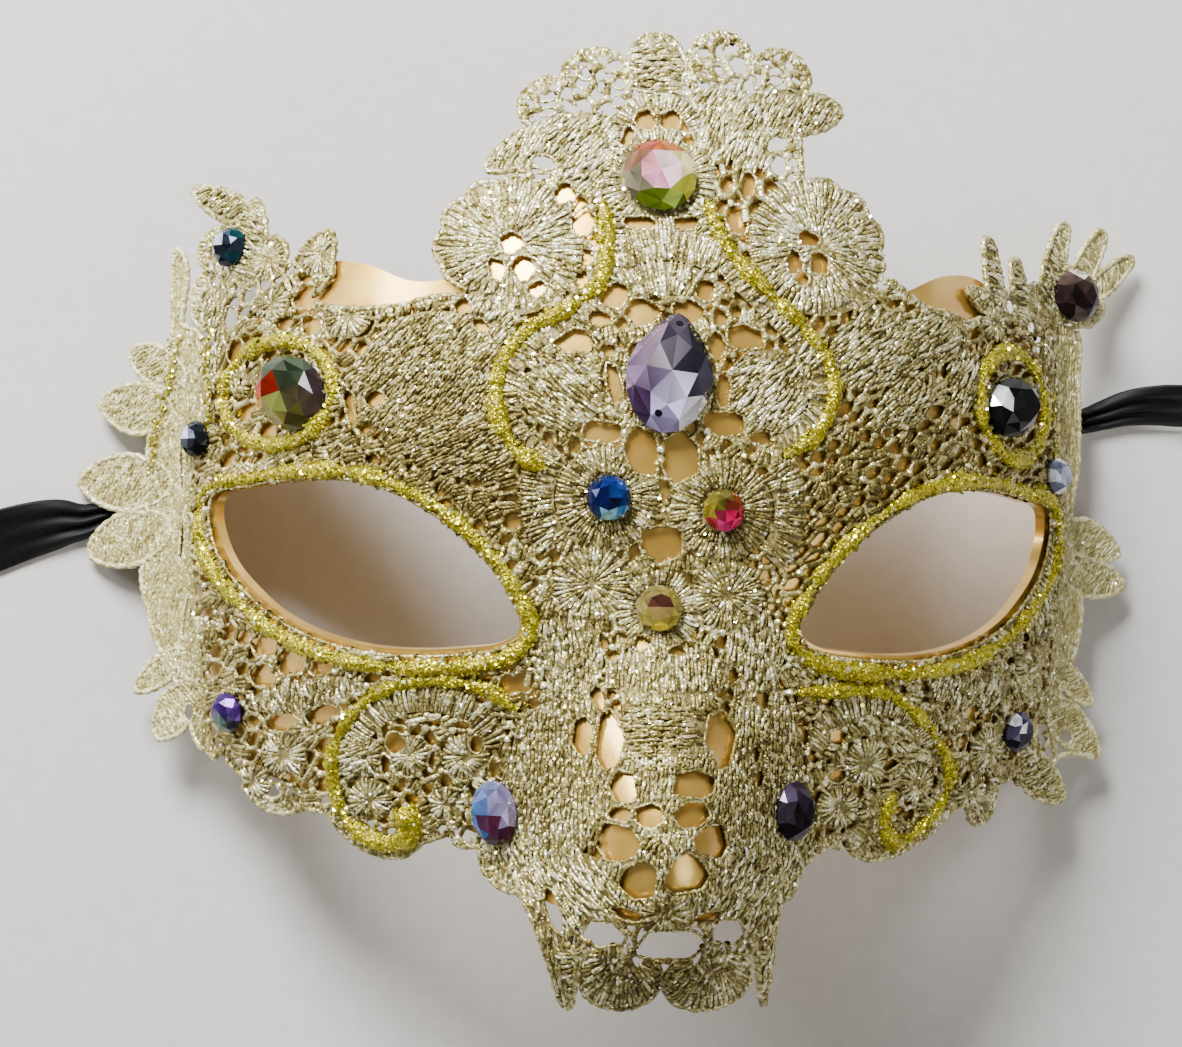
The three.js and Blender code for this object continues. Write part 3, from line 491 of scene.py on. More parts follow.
shellLoops = [shellOutline(loop) for loop in cadLoops("mask_shell")]
shellPlan = planFill(shellLoops, shellSet["spacing"])
shellData = skin("mask_shell_body", shellPlan, shellTop, 0.0, shellSet["thick"])
addObject(shellData, goldPaint, "mask_shell", "shell")
eyeLoops = sorted((l for l in shellLoops if loopArea(l) < 0), key=lambda l: l[:, 0].mean())
print("shell:", len(shellData.polygons), "faces,", len(eyeLoops), "eye openings")

# motifs of the embroidery, plan millimetres and degrees; a fan's rays run from its inner share to its rim
# columns: x y r inner, then start and sweep if it isn't a whole round
fanTable = [
    (-22.4, 50, 10.4, 0.14), (22.6, 51, 10.4, 0.14), (-0.8, 60.5, 8.4, 0.68),
    (-0.3, 67, 7.2, 0.62, -25, 230), (0, 36, 11.8, 0.6, 42, 96), (0, 36, 16.6, 0.73, 58, 64),
    (-8.3, 13.5, 7.4, 0.44), (8, 12, 7.4, 0.42), (-8.3, 13.5, 12.4, 0.62, 140, 84),
    (8, 12, 12.4, 0.62, -44, 84), (-10.4, 1.2, 5.4, 0.16), (9.2, -0.2, 5.2, 0.16),
    (-0.8, -2.4, 5.8, 0.58), (-45.4, 40.6, 3.4, 0.2), (-33, -27, 13, 0.74, 30, 130),
    (-41.9, -24.6, 3, 0.12), (-35.3, -24, 2.9, 0.12), (-27.4, -24, 3.3, 0.2), (-30, -31, 2.4, 0.2),
    (-41, -31, 3.2, 0.2), (-54, -25, 3.4, 0.25), (-59, -29.6, 2.8, 0.2), (33, -27, 13, 0.74, 26, 130),
    (31.6, -24.4, 3.6, 0.3), (40.6, -27.6, 3, 0.2), (27.4, -31, 3.4, 0.2), (54, -23, 3.4, 0.2),
    (51, -29.6, 3, 0.2), (-0.4, -33.6, 2.8, 0.12), (-5.5, -51, 8.4, 0.34, 180, 180),
    (7, -51, 8.6, 0.34, 180, 180), (-0.4, -44.4, 3.6, 0.2), (-57.6, 50.6, 3.2, 0.16),
    (-49.4, 50.6, 3.6, 0.16), (-57, 43.6, 2.6, 0.16), (45, 41.6, 3.2, 0.2), (53, 42.6, 2.8, 0.2),
]
# ovals of side-by-side stitches, all at one angle; long ones are laid like bricks
# columns: x y rx ry turn angle
satinTable = [
    (-0.3, 78.2, 4.2, 5.6, 0, 2), (-14.5, 66.3, 8.6, 3.9, 16, 46), (18, 71.8, 9.4, 3.8, 6, 58),
    (-21.6, 64.2, 4.6, 2.2, 30, 62), (-10.6, 61.6, 4, 3.2, 30, 44), (8.6, 68.4, 3.6, 4.6, -30, 66),
    (-14.8, 28.4, 5.6, 5.4, 0, -38), (14.4, 29.2, 6.2, 6, 0, 42), (0.2, -33, 9.6, 12.6, 0, 84),
    (-0.5, -20.4, 6, 5.1, 0, 2), (-51, -15.6, 9, 2.2, 13, 102), (49.6, -13.2, 8.4, 2.8, -6, 78),
    (-43.4, -25, 2.4, 3.2, 0, 24), (-33.4, 31, 10.6, 9.6, 8, 50), (-26.6, 38.6, 5, 4.4, 30, 50),
    (-30, 21.4, 8.6, 4.6, -24, 26), (-14.6, -26, 6.6, 13.6, -4, 92), (14.8, -26, 6.6, 13.6, 4, 88),
    (0.4, -12, 8.4, 4.4, 0, 90), (-13, -9, 4.4, 6.4, 10, 96), (13, -9, 4.4, 6.4, -10, 84),
    (-12.4, -42.2, 5.8, 5.4, 0, 122), (11.8, -42.2, 5.8, 5.4, 0, 60), (-16.2, -50, 2.6, 11, 16, 106),
    (17, -50, 2.4, 11, -8, 82), (12.6, 66.4, 4.6, 3.4, -25, 64), (10, 73.8, 4.4, 2.4, 10, 52),
    (-19.8, -38.4, 3.4, 6.4, 24, 104), (31, 36, 7.5, 5.5, 30, 42), (40.5, 38.4, 6, 4, 15, 38),
    (36.5, 29, 6, 3.2, 35, 40), (46.8, 33.4, 3, 4.6, 0, 62), (20.4, -37, 2.8, 6, -16, 80),
    (-66.4, 40, 2.6, 8, 0, 84), (66.8, 36, 2.8, 9, 0, 88), (-62, 7, 3, 9, 24, 66),
    (65, 2, 2.6, 9, -18, -66),
]
# leaves of the fringes, columns: footX footY tipX tipY width
leafTable = [
    (-71, 33, -80.2, 38.4, 6), (-73, 28, -85, 30, 8), (-73, 17, -88.4, 17.3, 9),
    (-73, 10.4, -86.6, 5.8, 8.5), (-70.4, -9.4, -78.2, -16.2, 4), (-68.4, -14.4, -74.6, -23.6, 6.2),
    (69.6, 12.6, 81.2, 8, 6), (70, 5, 82.2, 3, 6), (68, -9, 76.2, -16.6, 3.8),
    (66, -14.6, 77.6, -25, 6.2), (61.4, -24.4, 71, -32, 6.2), (-61.4, 47, -60.2, 61, 5.6),
    (-60, 57.8, -70.3, 63.9, 4.4), (54.4, 43.4, 52.9, 55.8, 3.8), (60.2, 43.4, 58.8, 53.4, 3.8),
    (65.6, 46, 70.2, 61.3, 4.6), (71, 49, 77.6, 61, 4.6), (74, 49.4, 83, 57.2, 4.2),
]
for footX, footY, tipX, tipY, width in leafTable:
    along = math.degrees(math.atan2(tipY - footY, tipX - footX))
    satinTable.append(((footX + tipX) / 2, (footY + tipY) / 2, math.hypot(tipX - footX, tipY - footY) / 2,
                       width / 2 - 0.2, along, along + 62))
scrollPaths = {
    "left": [
        (-9, 56.5), (-8.6, 50), (-9.4, 45), (-14, 40.6), (-20, 37.4), (-23.6, 32), (-24, 26),
        (-21.6, 20.6), (-17.4, 17.6),
    ],
    "right": [
        (6, 57), (8, 52), (11, 47.6), (16, 42.6), (20, 38.6), (23.6, 34), (24.5, 30), (23, 25),
        (20.4, 22), (17, 20),
    ],
}
curlPaths = {
    "left": [
        (-20.2, -17), (-24.6, -14.2), (-30, -13), (-35.4, -13.2), (-40, -15), (-44, -18.6),
        (-46.2, -23.4), (-46.4, -28.4), (-44.6, -33.6), (-41, -36.8), (-37, -37.4), (-34.8, -35),
        (-36.4, -31.8),
    ],
    "right": [
        (19.8, -14), (24, -13.8), (29, -13.4), (33, -13.8), (37, -15.6), (41, -18.6), (44.6, -22.6),
        (46.4, -27), (45, -31.4), (41.6, -34.6), (37.6, -36.6), (35.4, -34), (36.4, -29),
    ],
}
templeLoops = {"left": (-55.8, 29.8, 8.5, 7.9), "right": (57, 30.2, 7.4, 8.4)}
# wide gaps of the lace, where the gold shell or the table shows
# columns: x y rx ry turn
gapTable = [
    (-14.5, 57.8, 1.7, 1.9, 0), (-11.9, 53.6, 2, 2.4, -20), (-2.4, 69.7, 1.9, 1.8, 0),
    (1.2, 69.7, 1.9, 1.8, 0), (-5.2, 67, 1, 2, -25), (3.8, 66.6, 1, 1.1, 0), (-3.8, 53.7, 2.6, 1.3, 0),
    (3, 53.9, 2.2, 1.2, 0), (12.3, 59.8, 1.2, 2.5, -12), (10.5, 54.4, 1.7, 2.8, 5),
    (-22.2, 50.4, 1.9, 1.7, 0), (-24.2, 46.6, 1.3, 1.9, 20), (-20.5, 46.6, 1.8, 2.1, 10),
    (-18.5, 43.6, 1.4, 1.4, 0), (21.2, 52.2, 2, 1.5, 0), (19, 48.4, 1.4, 2, 0),
    (22.7, 48.5, 1.6, 2, 0), (-7.4, 42.6, 2.3, 1.9, 8), (-3.6, 40.3, 3.1, 2.2, 0),
    (3.1, 40.6, 2.5, 2, 0), (5.6, 43.6, 1.7, 1.8, 0), (-13.1, 35.9, 3.1, 1.9, 8),
    (-9.6, 39.2, 1.8, 1.2, 0), (11.2, 36.8, 3, 2.1, -8), (-7.7, 29.8, 1.2, 3, 8),
    (7.2, 35.4, 1.5, 2.6, 0), (8, 28.8, 1.1, 3, 0), (-9.2, 22.9, 3.2, 1.9, 0),
    (-3.4, 20.1, 2.9, 3.5, 0), (1.8, 19.6, 3, 3.9, 0), (8, 24.4, 3.2, 2.4, 0),
    (13.6, 22.4, 1.9, 1.1, 0), (-0.5, 7.1, 3.1, 3, 0), (-3.2, -7.4, 1.4, 1.2, 0),
    (-8, -21.2, 2.2, 4.3, 0), (-10.9, -20.7, 1.7, 2.9, 0), (7.7, -20.6, 2.6, 4.1, 0),
    (10, -11.8, 1, 1.2, 0), (14.6, -15.2, 1.1, 1.5, 0), (13.3, -23, 1, 1.3, 0),
    (13.8, -26.6, 1.1, 1.4, 0), (-5.9, -27.5, 1.7, 2.6, 0), (-6.2, -31.2, 1.7, 1.5, 0),
    (-6.7, -34.9, 2.9, 3.2, -20), (-3, -31.2, 1.9, 2, 0), (3.4, -27, 3.1, 2.3, 0),
    (3, -30.9, 2.9, 2, 0), (5.6, -34.8, 3, 2.5, 0), (2.1, -39.2, 3.1, 3.1, 0),
    (-3.9, -39.9, 2.5, 2.9, 0), (5.8, -45.2, 2.5, 1, 10), (-5.2, -45, 2.5, 1, -10),
    (-8.3, -48.1, 3, 2, 8), (0.9, -49.2, 5.3, 2.3, 0), (9, -47.8, 2.7, 2, -10),
    (-14.6, -45.4, 1.1, 3.6, 16), (-57.1, -8.4, 2.3, 2.1, 0), (-52.8, -10.5, 2.8, 2.8, 0),
    (-57.4, -13.1, 2.3, 2.1, 0), (-48.8, -11.3, 2.3, 1.7, 0), (-63.3, -4.4, 0.9, 1.2, 0),
    (-54.4, -20, 2.6, 1.5, 10), (-48.2, -18.6, 2.9, 1.6, 15), (-38.8, -25.6, 0.9, 1.8, 0),
    (-32.1, -24.8, 0.8, 1.6, 0), (-32.7, -28.9, 1.1, 1.2, 0), (-37.2, -20.4, 1.4, 0.9, 0),
    (-32.3, -19.3, 1.6, 0.8, 0), (-28.2, -19.4, 1.4, 0.8, 0), (-23.3, -25.6, 1, 1.6, 0),
    (-21.7, -10.7, 1.3, 1.2, 0), (-19.4, -12.8, 1.9, 1.8, 0), (-18.1, -16, 1.2, 1.1, 0),
    (45, -16.2, 1, 1, 0), (50.4, -17.4, 1.8, 1.5, 0), (54.8, -18.4, 0.8, 1.1, 0),
    (26.8, -20.6, 1.6, 1.4, 0), (35.9, -24.8, 1.6, 1, 30), (27.1, -26.4, 1.6, 1.2, 0),
    (31, -28.8, 0.9, 1.3, 0), (21.4, -20.6, 0.8, 1.4, 0), (50, -26.8, 1, 2, -20),
    (67.2, -21.4, 1.9, 2.7, 15), (70.9, -22.4, 1.9, 1.9, 0), (69.6, -13.2, 0.7, 1.1, 0),
    (-51.6, 44.2, 2.3, 2.1, 0), (-51, 39.6, 1.6, 1.8, 20), (-63.5, 42.2, 1.2, 2.1, 0),
    (-62.5, 36.8, 1.6, 2.2, 0), (-48.4, 35.2, 0.7, 1.9, 20), (-44.9, 26.8, 0.9, 3.4, 10),
    (-63.8, 23.2, 1.2, 1.3, 0), (-60.4, 21.6, 1.5, 1, 0), (-41.6, 19.2, 1.2, 1, 0),
    (-29, 41.2, 1.5, 1.3, 0), (-26.3, 38.3, 1.6, 1, -30), (44.8, 27.1, 0.9, 1.8, 0),
    (51, 36, 0.8, 1.5, -10), (39.8, 32.4, 0.7, 1.2, 0), (-71.2, 19, 0.45, 4.4, 3),
    (-71, 7.6, 0.45, 4, -3), (-70.2, -4.4, 0.45, 4, -8),
]
# open net between the motifs: mesh size, stretch and its direction, bar radius, share of filled meshes
# columns: cell stretch angle bar filled
netTable = {
    "lace_crown": (2.9, 1.15, 80, 0.6, 0.05), "lace_forehead": (2.2, 1.2, 80, 0.46, 0.45),
    "lace_nose": (2.2, 1.4, 90, 0.48, 0.6), "lace_brow_left": (2.1, 1.4, 40, 0.48, 0.6),
    "lace_brow_right": (2.0, 1.6, 34, 0.46, 0.35), "lace_cheek_left": (2.4, 1.1, 30, 0.48, 0.55),
    "lace_cheek_right": (2.2, 1.1, -30, 0.5, 0.65), "lace_corner_left": (2.4, 1.2, 80, 0.52, 0.6),
    "lace_corner_right": (2.4, 1.3, 80, 0.52, 0.6),
}


def ovalLine(x, y, rx, ry, turn=0.0, step=0.7):
    count = max(10, int(math.pi * (rx + ry) / step))
    a = np.arange(count) * 2 * math.pi / count
    c, s = math.cos(math.radians(turn)), math.sin(math.radians(turn))
    u, v = rx * np.cos(a), ry * np.sin(a)
    return np.stack([x + u * c - v * s, y + u * s + v * c], -1)


def ovalSpots(points, oval):  # where points fall in an oval, 1 on its edge
    x, y, rx, ry, turn = oval
    c, s = math.cos(math.radians(turn)), math.sin(math.radians(turn))
    d = points - np.array([x, y])
    return np.hypot((d[..., 0] * c + d[..., 1] * s) / rx, (d[..., 1] * c - d[..., 0] * s) / ry)


def fanShape(x, y, r, inner, start=0, sweep=360):  # outline of the cloth under a fan
    if sweep > 300:
        return ovalLine(x, y, r, r)
    a = np.radians(np.linspace(start, start + sweep, max(8, int(sweep / 5))))
    arc = np.stack([np.cos(a), np.sin(a)], -1)
    return np.array([x, y]) + np.vstack([arc * r, arc[::-1] * r * inner])


def bandShape(path, inner, outer):
    line = openLine(path, 0.8)
    along = unit(np.gradient(line, axis=0))
    aside = leftOf(along)
    return np.vstack([line + aside * inner, (line + aside * outer)[::-1]])


bandTable = [("left", 0.6, 3.2), ("right", -0.6, -3.2)]
solidShapes = [fanShape(*row) for row in fanTable] + [ovalLine(*row[:5]) for row in satinTable]
solidShapes += [bandShape(scrollPaths[side], near, far) for side, near, far in bandTable]

gapSet = {"sides": 6, "askew": 0.28, "far": (0.95, 1.2), "sidePoints": 5, "thread": 0.22, "least": 0.4}


# a gap's straight-sided outline, cut back where threads part it from its neighbours
def gapShape(which):
    x, y, rx, ry, turn = gapTable[which]
    sides = gapSet["sides"]
    step = np.arange(sides) + chance.uniform(-gapSet["askew"], gapSet["askew"], sides)
    a = step * 2 * math.pi / sides + chance.uniform(0, 6)
    far = chance.uniform(*gapSet["far"], sides)
    c, s = math.cos(math.radians(turn)), math.sin(math.radians(turn))
    u, v = rx * far * np.cos(a), ry * far * np.sin(a)
    corners = np.stack([u * c - v * s, u * s + v * c], -1)
    share = np.arange(gapSet["sidePoints"])[:, None] / gapSet["sidePoints"]
    line = np.vstack([p + (q - p) * share for p, q in zip(corners, np.roll(corners, -1, 0))])
    for other in gapTable:
        away = np.array(other[:2]) - (x, y)
        apart = np.linalg.norm(away)
        if 0.1 < apart < max(rx, ry) + max(other[2:4]) + 1:
            here = 1 / ovalSpots(away / apart, (0, 0, rx, ry, turn))
            there = 1 / ovalSpots(away / apart, (0, 0, *other[2:]))
            limit = max(gapSet["least"], apart * here / (here + there) - gapSet["thread"])
            line = line - np.maximum(line @ (away / apart) - limit, 0)[:, None] * away / apart
    return 0.15 * np.roll(line, 1, 0) + 0.7 * line + 0.15 * np.roll(line, -1, 0) + (x, y)


gapShapes = [gapShape(k) for k in range(len(gapTable))]

# lace pieces, from their CAD outlines; where two pieces meet, the edges close on each other
laceNodes = sorted(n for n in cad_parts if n.startswith("lace_"))
laceSet = {"spacing": 2.0, "step": 0.5, "height": 0.6, "thick": 0.45, "seam": 0.8, "widen": 1.2,
           "covers": 1.3, "ragged": (0.85, 1.15), "tipGrow": 0.6, "tipReach": 2.6, "pastTip": 1.2,
           "slimGain": 4, "eyeGap": 0.3, "lowGap": 0.6}


def offsetLoop(loop, distance):
    along = unit(np.roll(loop, -1, 0) - np.roll(loop, 1, 0))
    return loop + np.asarray(distance)[..., None] * leftOf(along)


# leaf ends drawn slimmer than the solid's
# columns: foot and tip of the axis, reach, share kept, side of the axis or 0 for both
slimEnds = {
    "lace_side_left": [(-72.1, 38, -72.9, 54.6, 6, 0.4, 0)],
    "lace_nose": [(-16.6, -43, -12.6, -60.6, 5, 0.3, -1), (14.6, -44, 15.8, -60.9, 5, 0.35, 1)],
}
# leaves drawn shorter: foot height, places across, share kept
shortEnds = {"lace_corner_right": [(44.5, 40, 62, 0.83), (44.5, 62, 90, 0.92)]}
# upper edge of the lace where the shell's brow shows bare above it
bareBrows = {"lace_brow_left": [(-47, 42.2), (-43.7, 41.4), (-39.6, 41.5), (-36, 41.9), (-33, 42.7),
                                (-31.6, 43.2), (-30.2, 44.6)]}


def trimmed(node, loop):
    for x0, y0, x1, y1, reach, slim, side in slimEnds.get(node, ()):
        foot, run = np.array([x0, y0]), np.array([x1 - x0, y1 - y0])
        t = (loop - foot) @ run / (run @ run)
        axis = foot + t[:, None] * run
        near = (t > 0) & (t < laceSet["pastTip"]) & (np.linalg.norm(loop - axis, axis=1) < reach)
        near &= np.cross(run, loop - foot) * side >= 0
        share = near * np.clip(laceSet["slimGain"] * t, 0, 1) * (1 - slim)
        loop = loop + share[:, None] * (axis - loop)
    for foot, left, right, short in shortEnds.get(node, ()):
        high = (loop[:, 1] > foot) & (loop[:, 0] > left) & (loop[:, 0] < right)
        loop[high, 1] = foot + (loop[high, 1] - foot) * short
    if node in bareBrows:
        x, y = np.array(bareBrows[node]).T
        high = (loop[:, 0] > x[0]) & (loop[:, 0] < x[-1]) & (loop[:, 1] > np.interp(loop[:, 0], x, y))
        loop[high, 1] = np.interp(loop[high, 0], x, y)
    return loop


# outline of a piece with those of its gaps that no wider gap covers, a little widened
def keptLoops(node):
    loops = []
    for loop in cadLoops(node):
        if loopArea(loop) < 0:
            middle = loop.mean(0)
            if any(ovalSpots(middle, row) < laceSet["covers"] for row in gapTable):
                continue
            ragged = chance.uniform(*laceSet["ragged"], (len(loop), 1))
            loop = middle + (loop - middle) * laceSet["widen"] * ragged
        loop = softLoop(trimmed(node, loop), laceSet["step"])
        if node == "lace_corner_right" and loopArea(loop) > 0:
            far, _ = nearest(loop, np.array(leafTable)[:, 2:4])
            loop = offsetLoop(loop, -laceSet["tipGrow"] * np.exp(-((far / laceSet["tipReach"]) ** 2)))
        loops.append(loop)
    return loops


lowSet = {"outward": 0.5, "downward": -0.9, "gain": 1.4, "blur": 8}


def lowSide(loop, hand):  # 1 on the lower, outer side of an eye opening, 0 on its upper side
    low = unit(np.array([lowSet["outward"] * hand, lowSet["downward"]]))
    share = np.clip(lowSet["gain"] * (unit(offsetLoop(loop, 1.0) - loop) @ low), 0, 1)
    blur = lowSet["blur"]
    count = 2 * blur + 1
    wrapped = np.concatenate([share[-blur:], share, share[:blur]])
    return np.convolve(wrapped, np.ones(count) / count, "valid")


# the lace stays back from the lower rim of the eyes, so that the shell's edge shows there
eyeCuts = [offsetLoop(eye, laceSet["eyeGap"] + laceSet["lowGap"] * lowSide(eye, hand))
           for eye, hand in zip(eyeLoops, (-1, 1))]
rawLoops = {n: keptLoops(n) for n in laceNodes}
laceLoops, seamMarks, laceGaps = {}, {}, {}
for node in laceNodes:
    others = np.vstack([loop for n in laceNodes if n != node for loop in rawLoops[n]])
    laceLoops[node], seamMarks[node] = [], []
    for loop in rawLoops[node]:
        far, which = nearest(loop, others)
        seam = far < laceSet["seam"]
        laceLoops[node].append(np.where(seam[:, None], 0.5 * (loop + others[which]), loop))
        seamMarks[node].append(seam)
    laceGaps[node] = [shape for shape in gapShapes + eyeCuts if inside(shape, laceLoops[node]).any()]


def setPoints(data, name, values):
    layer = data.attributes.new(name, "FLOAT", "POINT")
    layer.data.foreach_set("value", np.asarray(values, np.float32).ravel())


fringeSet = {"start": 66, "blend": 5}


def paleness(x):  # the fringe by the temples is a paler, plainer thread
    return np.clip((np.abs(x) - fringeSet["start"]) / fringeSet["blend"], 0, 1)


def planOf(data):  # plan places of a mesh's points
    return (np.array([v.co for v in data.vertices]) - planShift)[:, :2] / mm


# painted light and shade on the embroidery: lighter towards the crown and the big flowers, darker round
# the stones, on the right side and in other shaded patches
# columns: plan place, reach, change of shade
paintedShadingTable = [
    (0, 66, 26, 0.16), (-22, 50, 9, 0.16), (22, 51, 9, 0.18), (-30, 18, 10, -0.42),
    (-44, 22, 8, -0.14), (42, 20, 16, -0.16), (-8.3, 13.5, 8, -0.26), (8, 12, 8, -0.26),
    (-12, -24, 11, -0.16), (13, -24, 10, -0.24), (0, -53, 9, -0.3), (-16, -50, 5, -0.15),
    (-33, 34, 12, -0.14), (-24, 13, 6, -0.3), (22, 7, 8, -0.36), (28, 17, 7, -0.2), (0, -20, 7, -0.16),
    (-15, 29, 6, -0.1), (40, -22, 14, 0.06), (-36, -24, 12, 0.04),
]


def paintedShading(plan):
    change = np.zeros(plan.shape[:-1])
    for x, y, reach, amount in paintedShadingTable:
        change += amount * np.exp(-np.sum((plan - (x, y)) ** 2, -1) / reach ** 2)
    return change


def paintPale(data):
    setPoints(data, "pale", paleness(planOf(data)[:, 0]))


for node in laceNodes:
    shapes = None
    if node in netTable:
        shapes = [shape for shape in solidShapes if inside(shape, laceLoops[node]).any()]
    plan = planFill(laceLoops[node], laceSet["spacing"], laceGaps[node], shapes)
    data = skin(node + "_cloth", plan, laceLow, laceSet["height"], laceSet["thick"])
    paintPale(data)
    addObject(data, laceCloth, node, "lace")
print("lace cloth:", len(laceNodes), "pieces")


# round cords along lines, with lumps; each line is frame points and a radius for each
def cords(name, lines, sides=1):
    data = bpy.data.curves.new(name, "CURVE")
    data.dimensions = "3D"
    data.bevel_depth = mm
    data.bevel_resolution = sides
    data.use_fill_caps = True
    for points, radius, loop in lines:
        spline = data.splines.new("POLY")
        spline.points.add(len(points) - 1)
        spline.points.foreach_set("co", np.column_stack([points, np.ones(len(points))]).ravel())
        spline.points.foreach_set("radius", np.asarray(radius, float))
        spline.use_cyclic_u = loop
    temporary = bpy.data.objects.new(name + "_line", data)
    scene.collection.objects.link(temporary)
    bpy.context.view_layer.update()
    ready = temporary.evaluated_get(bpy.context.evaluated_depsgraph_get())
    solid = bpy.data.meshes.new_from_object(ready)
    solid.name = name
    bpy.data.objects.remove(temporary)
    bpy.data.curves.remove(data)
    solid.shade_smooth()
    return solid


def shades(middle, count, vary=0.2):  # uneven shades of thread round a middle one
    return np.clip(middle + vary * chance.standard_normal(count), 0, 1)


def addThread(node, data):
    addObject(data, laceThread, node, "lace")


# corded edges of the lace and of its gaps
edgingSet = {"outer": 0.5, "gap": 0.24, "leaf": 0.42, "lump": 0.1, "uneven": 0.03, "pitch": 0.8,
             "height": 0.5, "step": 0.4, "shade": 0.5, "vary": 0.25, "fringe": 0.2}


def edgingLine(line, radius, closed):
    points, _ = lifted(line, np.full(len(line), edgingSet["height"]))
    along = np.cumsum(np.linalg.norm(np.diff(points, axis=0, prepend=points[:1]), axis=1)) / mm
    lump = edgingSet["lump"] * np.sin(2 * math.pi * along / edgingSet["pitch"] + chance.uniform(0, 6))
    return points, radius + lump + chance.normal(0, edgingSet["uneven"], len(points)), closed


def openRuns(loop, seam):  # stretches of a loop that aren't on a seam
    if not seam.any():
        return [(loop, True)]
    first = int(np.argmax(seam))
    loop, seam = np.roll(loop, -first, 0), np.roll(seam, -first)
    cuts = np.flatnonzero(np.diff(seam.astype(int))) + 1
    return [(part, False) for part, mark in zip(np.split(loop, cuts), np.split(seam, cuts))
            if not mark[0] and len(part) > 3]


leafShapes = [ovalLine(*row[:5], step=edgingSet["step"]) for row in satinTable[-len(leafTable):]]
leafBars = {"lace_side_right": [
    [(65, -19.5), (64.8, -22.8), (65.6, -26), (68.4, -26.4), (70, -25), (73.4, -24.6), (76.6, -25)],
    [(68.4, -20), (69, -22.6), (69.6, -25.2)],
]}
outerRuns = {}
for node in laceNodes:
    lines, outerRuns[node] = [], []
    for loop, seam in zip(laceLoops[node], seamMarks[node]):
        runs = openRuns(loop, seam | insideAny(loop, eyeCuts))
        outer = loopArea(loop) > 0
        radius = edgingSet["outer" if outer else "gap"]
        lines += [edgingLine(line, radius, closed) for line, closed in runs]
        outerRuns[node] += [line for line, closed in runs] if outer else []
    for shape in laceGaps[node]:
        line = softLoop(shape, edgingSet["step"])
        lines += [edgingLine(part, edgingSet["gap"], closed)
                  for part, closed in openRuns(line, ~inside(line, laceLoops[node]))]
    for shape in leafShapes:
        runs = openRuns(shape, ~inside(shape, laceLoops[node]))
        lines += [edgingLine(part, edgingSet["leaf"], closed) for part, closed in runs]
    for bar in leafBars.get(node, ()):
        lines.append(edgingLine(openLine(bar, edgingSet["step"]), edgingSet["outer"], False))
    data = cords(node + "_edging", lines)
    spots = planOf(data)
    body = edgingSet["shade"] + edgingSet["fringe"] * paleness(spots[:, 0]) + paintedShading(spots)
    setPoints(data, "shade", shades(body, len(spots), edgingSet["vary"]))
    paintPale(data)
    addThread(node, data)
print("lace edging done")


# true or false on a fine grid over one piece of lace, to keep stitches where they belong
def rasterOf(loops, cell=0.2):
    low = np.vstack(loops).min(0) - 1
    size = np.ceil((np.vstack(loops).max(0) + 1 - low) / cell).astype(int)
    grid = np.zeros((size[1], size[0]), bool)
    for loop in loops:
        paint(grid, low, cell, loop)
    return grid, low, cell


def paint(grid, low, cell, loop):  # turns over the cells inside a loop
    for (x0, y0), (x1, y1) in zip(loop, np.roll(loop, -1, 0)):
        if y0 > y1:
            x0, y0, x1, y1 = x1, y1, x0, y0
        for row in range(max(0, math.ceil((y0 - low[1]) / cell - 0.5)),
                         min(len(grid), math.ceil((y1 - low[1]) / cell - 0.5))):
            y = low[1] + (row + 0.5) * cell
            at = x0 + (y - y0) / (y1 - y0) * (x1 - x0)
            grid[row, max(0, math.ceil((at - low[0]) / cell - 0.5)):] ^= True


def markShapes(raster, shapes):  # the cells that lie in one shape or another
    grid, low, cell = raster
    found = np.zeros_like(grid)
    for shape in shapes:
        one = np.zeros_like(grid)
        paint(one, low, cell, shape)
        found |= one
    return found


def covered(raster, points):  # which plan points lie on cells that are true
    grid, low, cell = raster
    at = np.floor((points - low) / cell).astype(int)
    fits = np.all((at >= 0) & (at < np.array(grid.shape)[::-1]), axis=-1)
    at = np.clip(at, 0, np.array(grid.shape)[::-1] - 1)
    return grid[at[..., 1], at[..., 0]] & fits


# the stretch of each stitch that lies on the lace
def clipped(raster, start, end, around=0.5, shortest=0.8, parts=24):
    run = end - start
    t = np.linspace(0, 1, parts + 1)
    on = covered(raster, start[:, None] + run[:, None] * t[None, :, None])
    middle = int(around * parts)
    after = np.cumprod(on[:, middle:], 1).sum(1)
    before = np.cumprod(on[:, middle::-1], 1).sum(1)
    low = np.clip(middle - before + 1, 0, parts) / parts
    high = np.clip(middle + after - 1, 0, parts) / parts
    keep = (after > 0) & (np.linalg.norm(run, axis=1) * (high - low) > shortest)
    return (start + run * low[:, None])[keep], (start + run * high[:, None])[keep], keep


# rays of a fan, in one row or more, from its inner ring to its rim
fanSet = {"pitch": 0.6, "deepFrom": 3.4, "rimRow": 2.6, "row": 1.8, "overlap": 0.03, "askew": 0.2,
          "ragged": 0.04, "lean": 0.03}


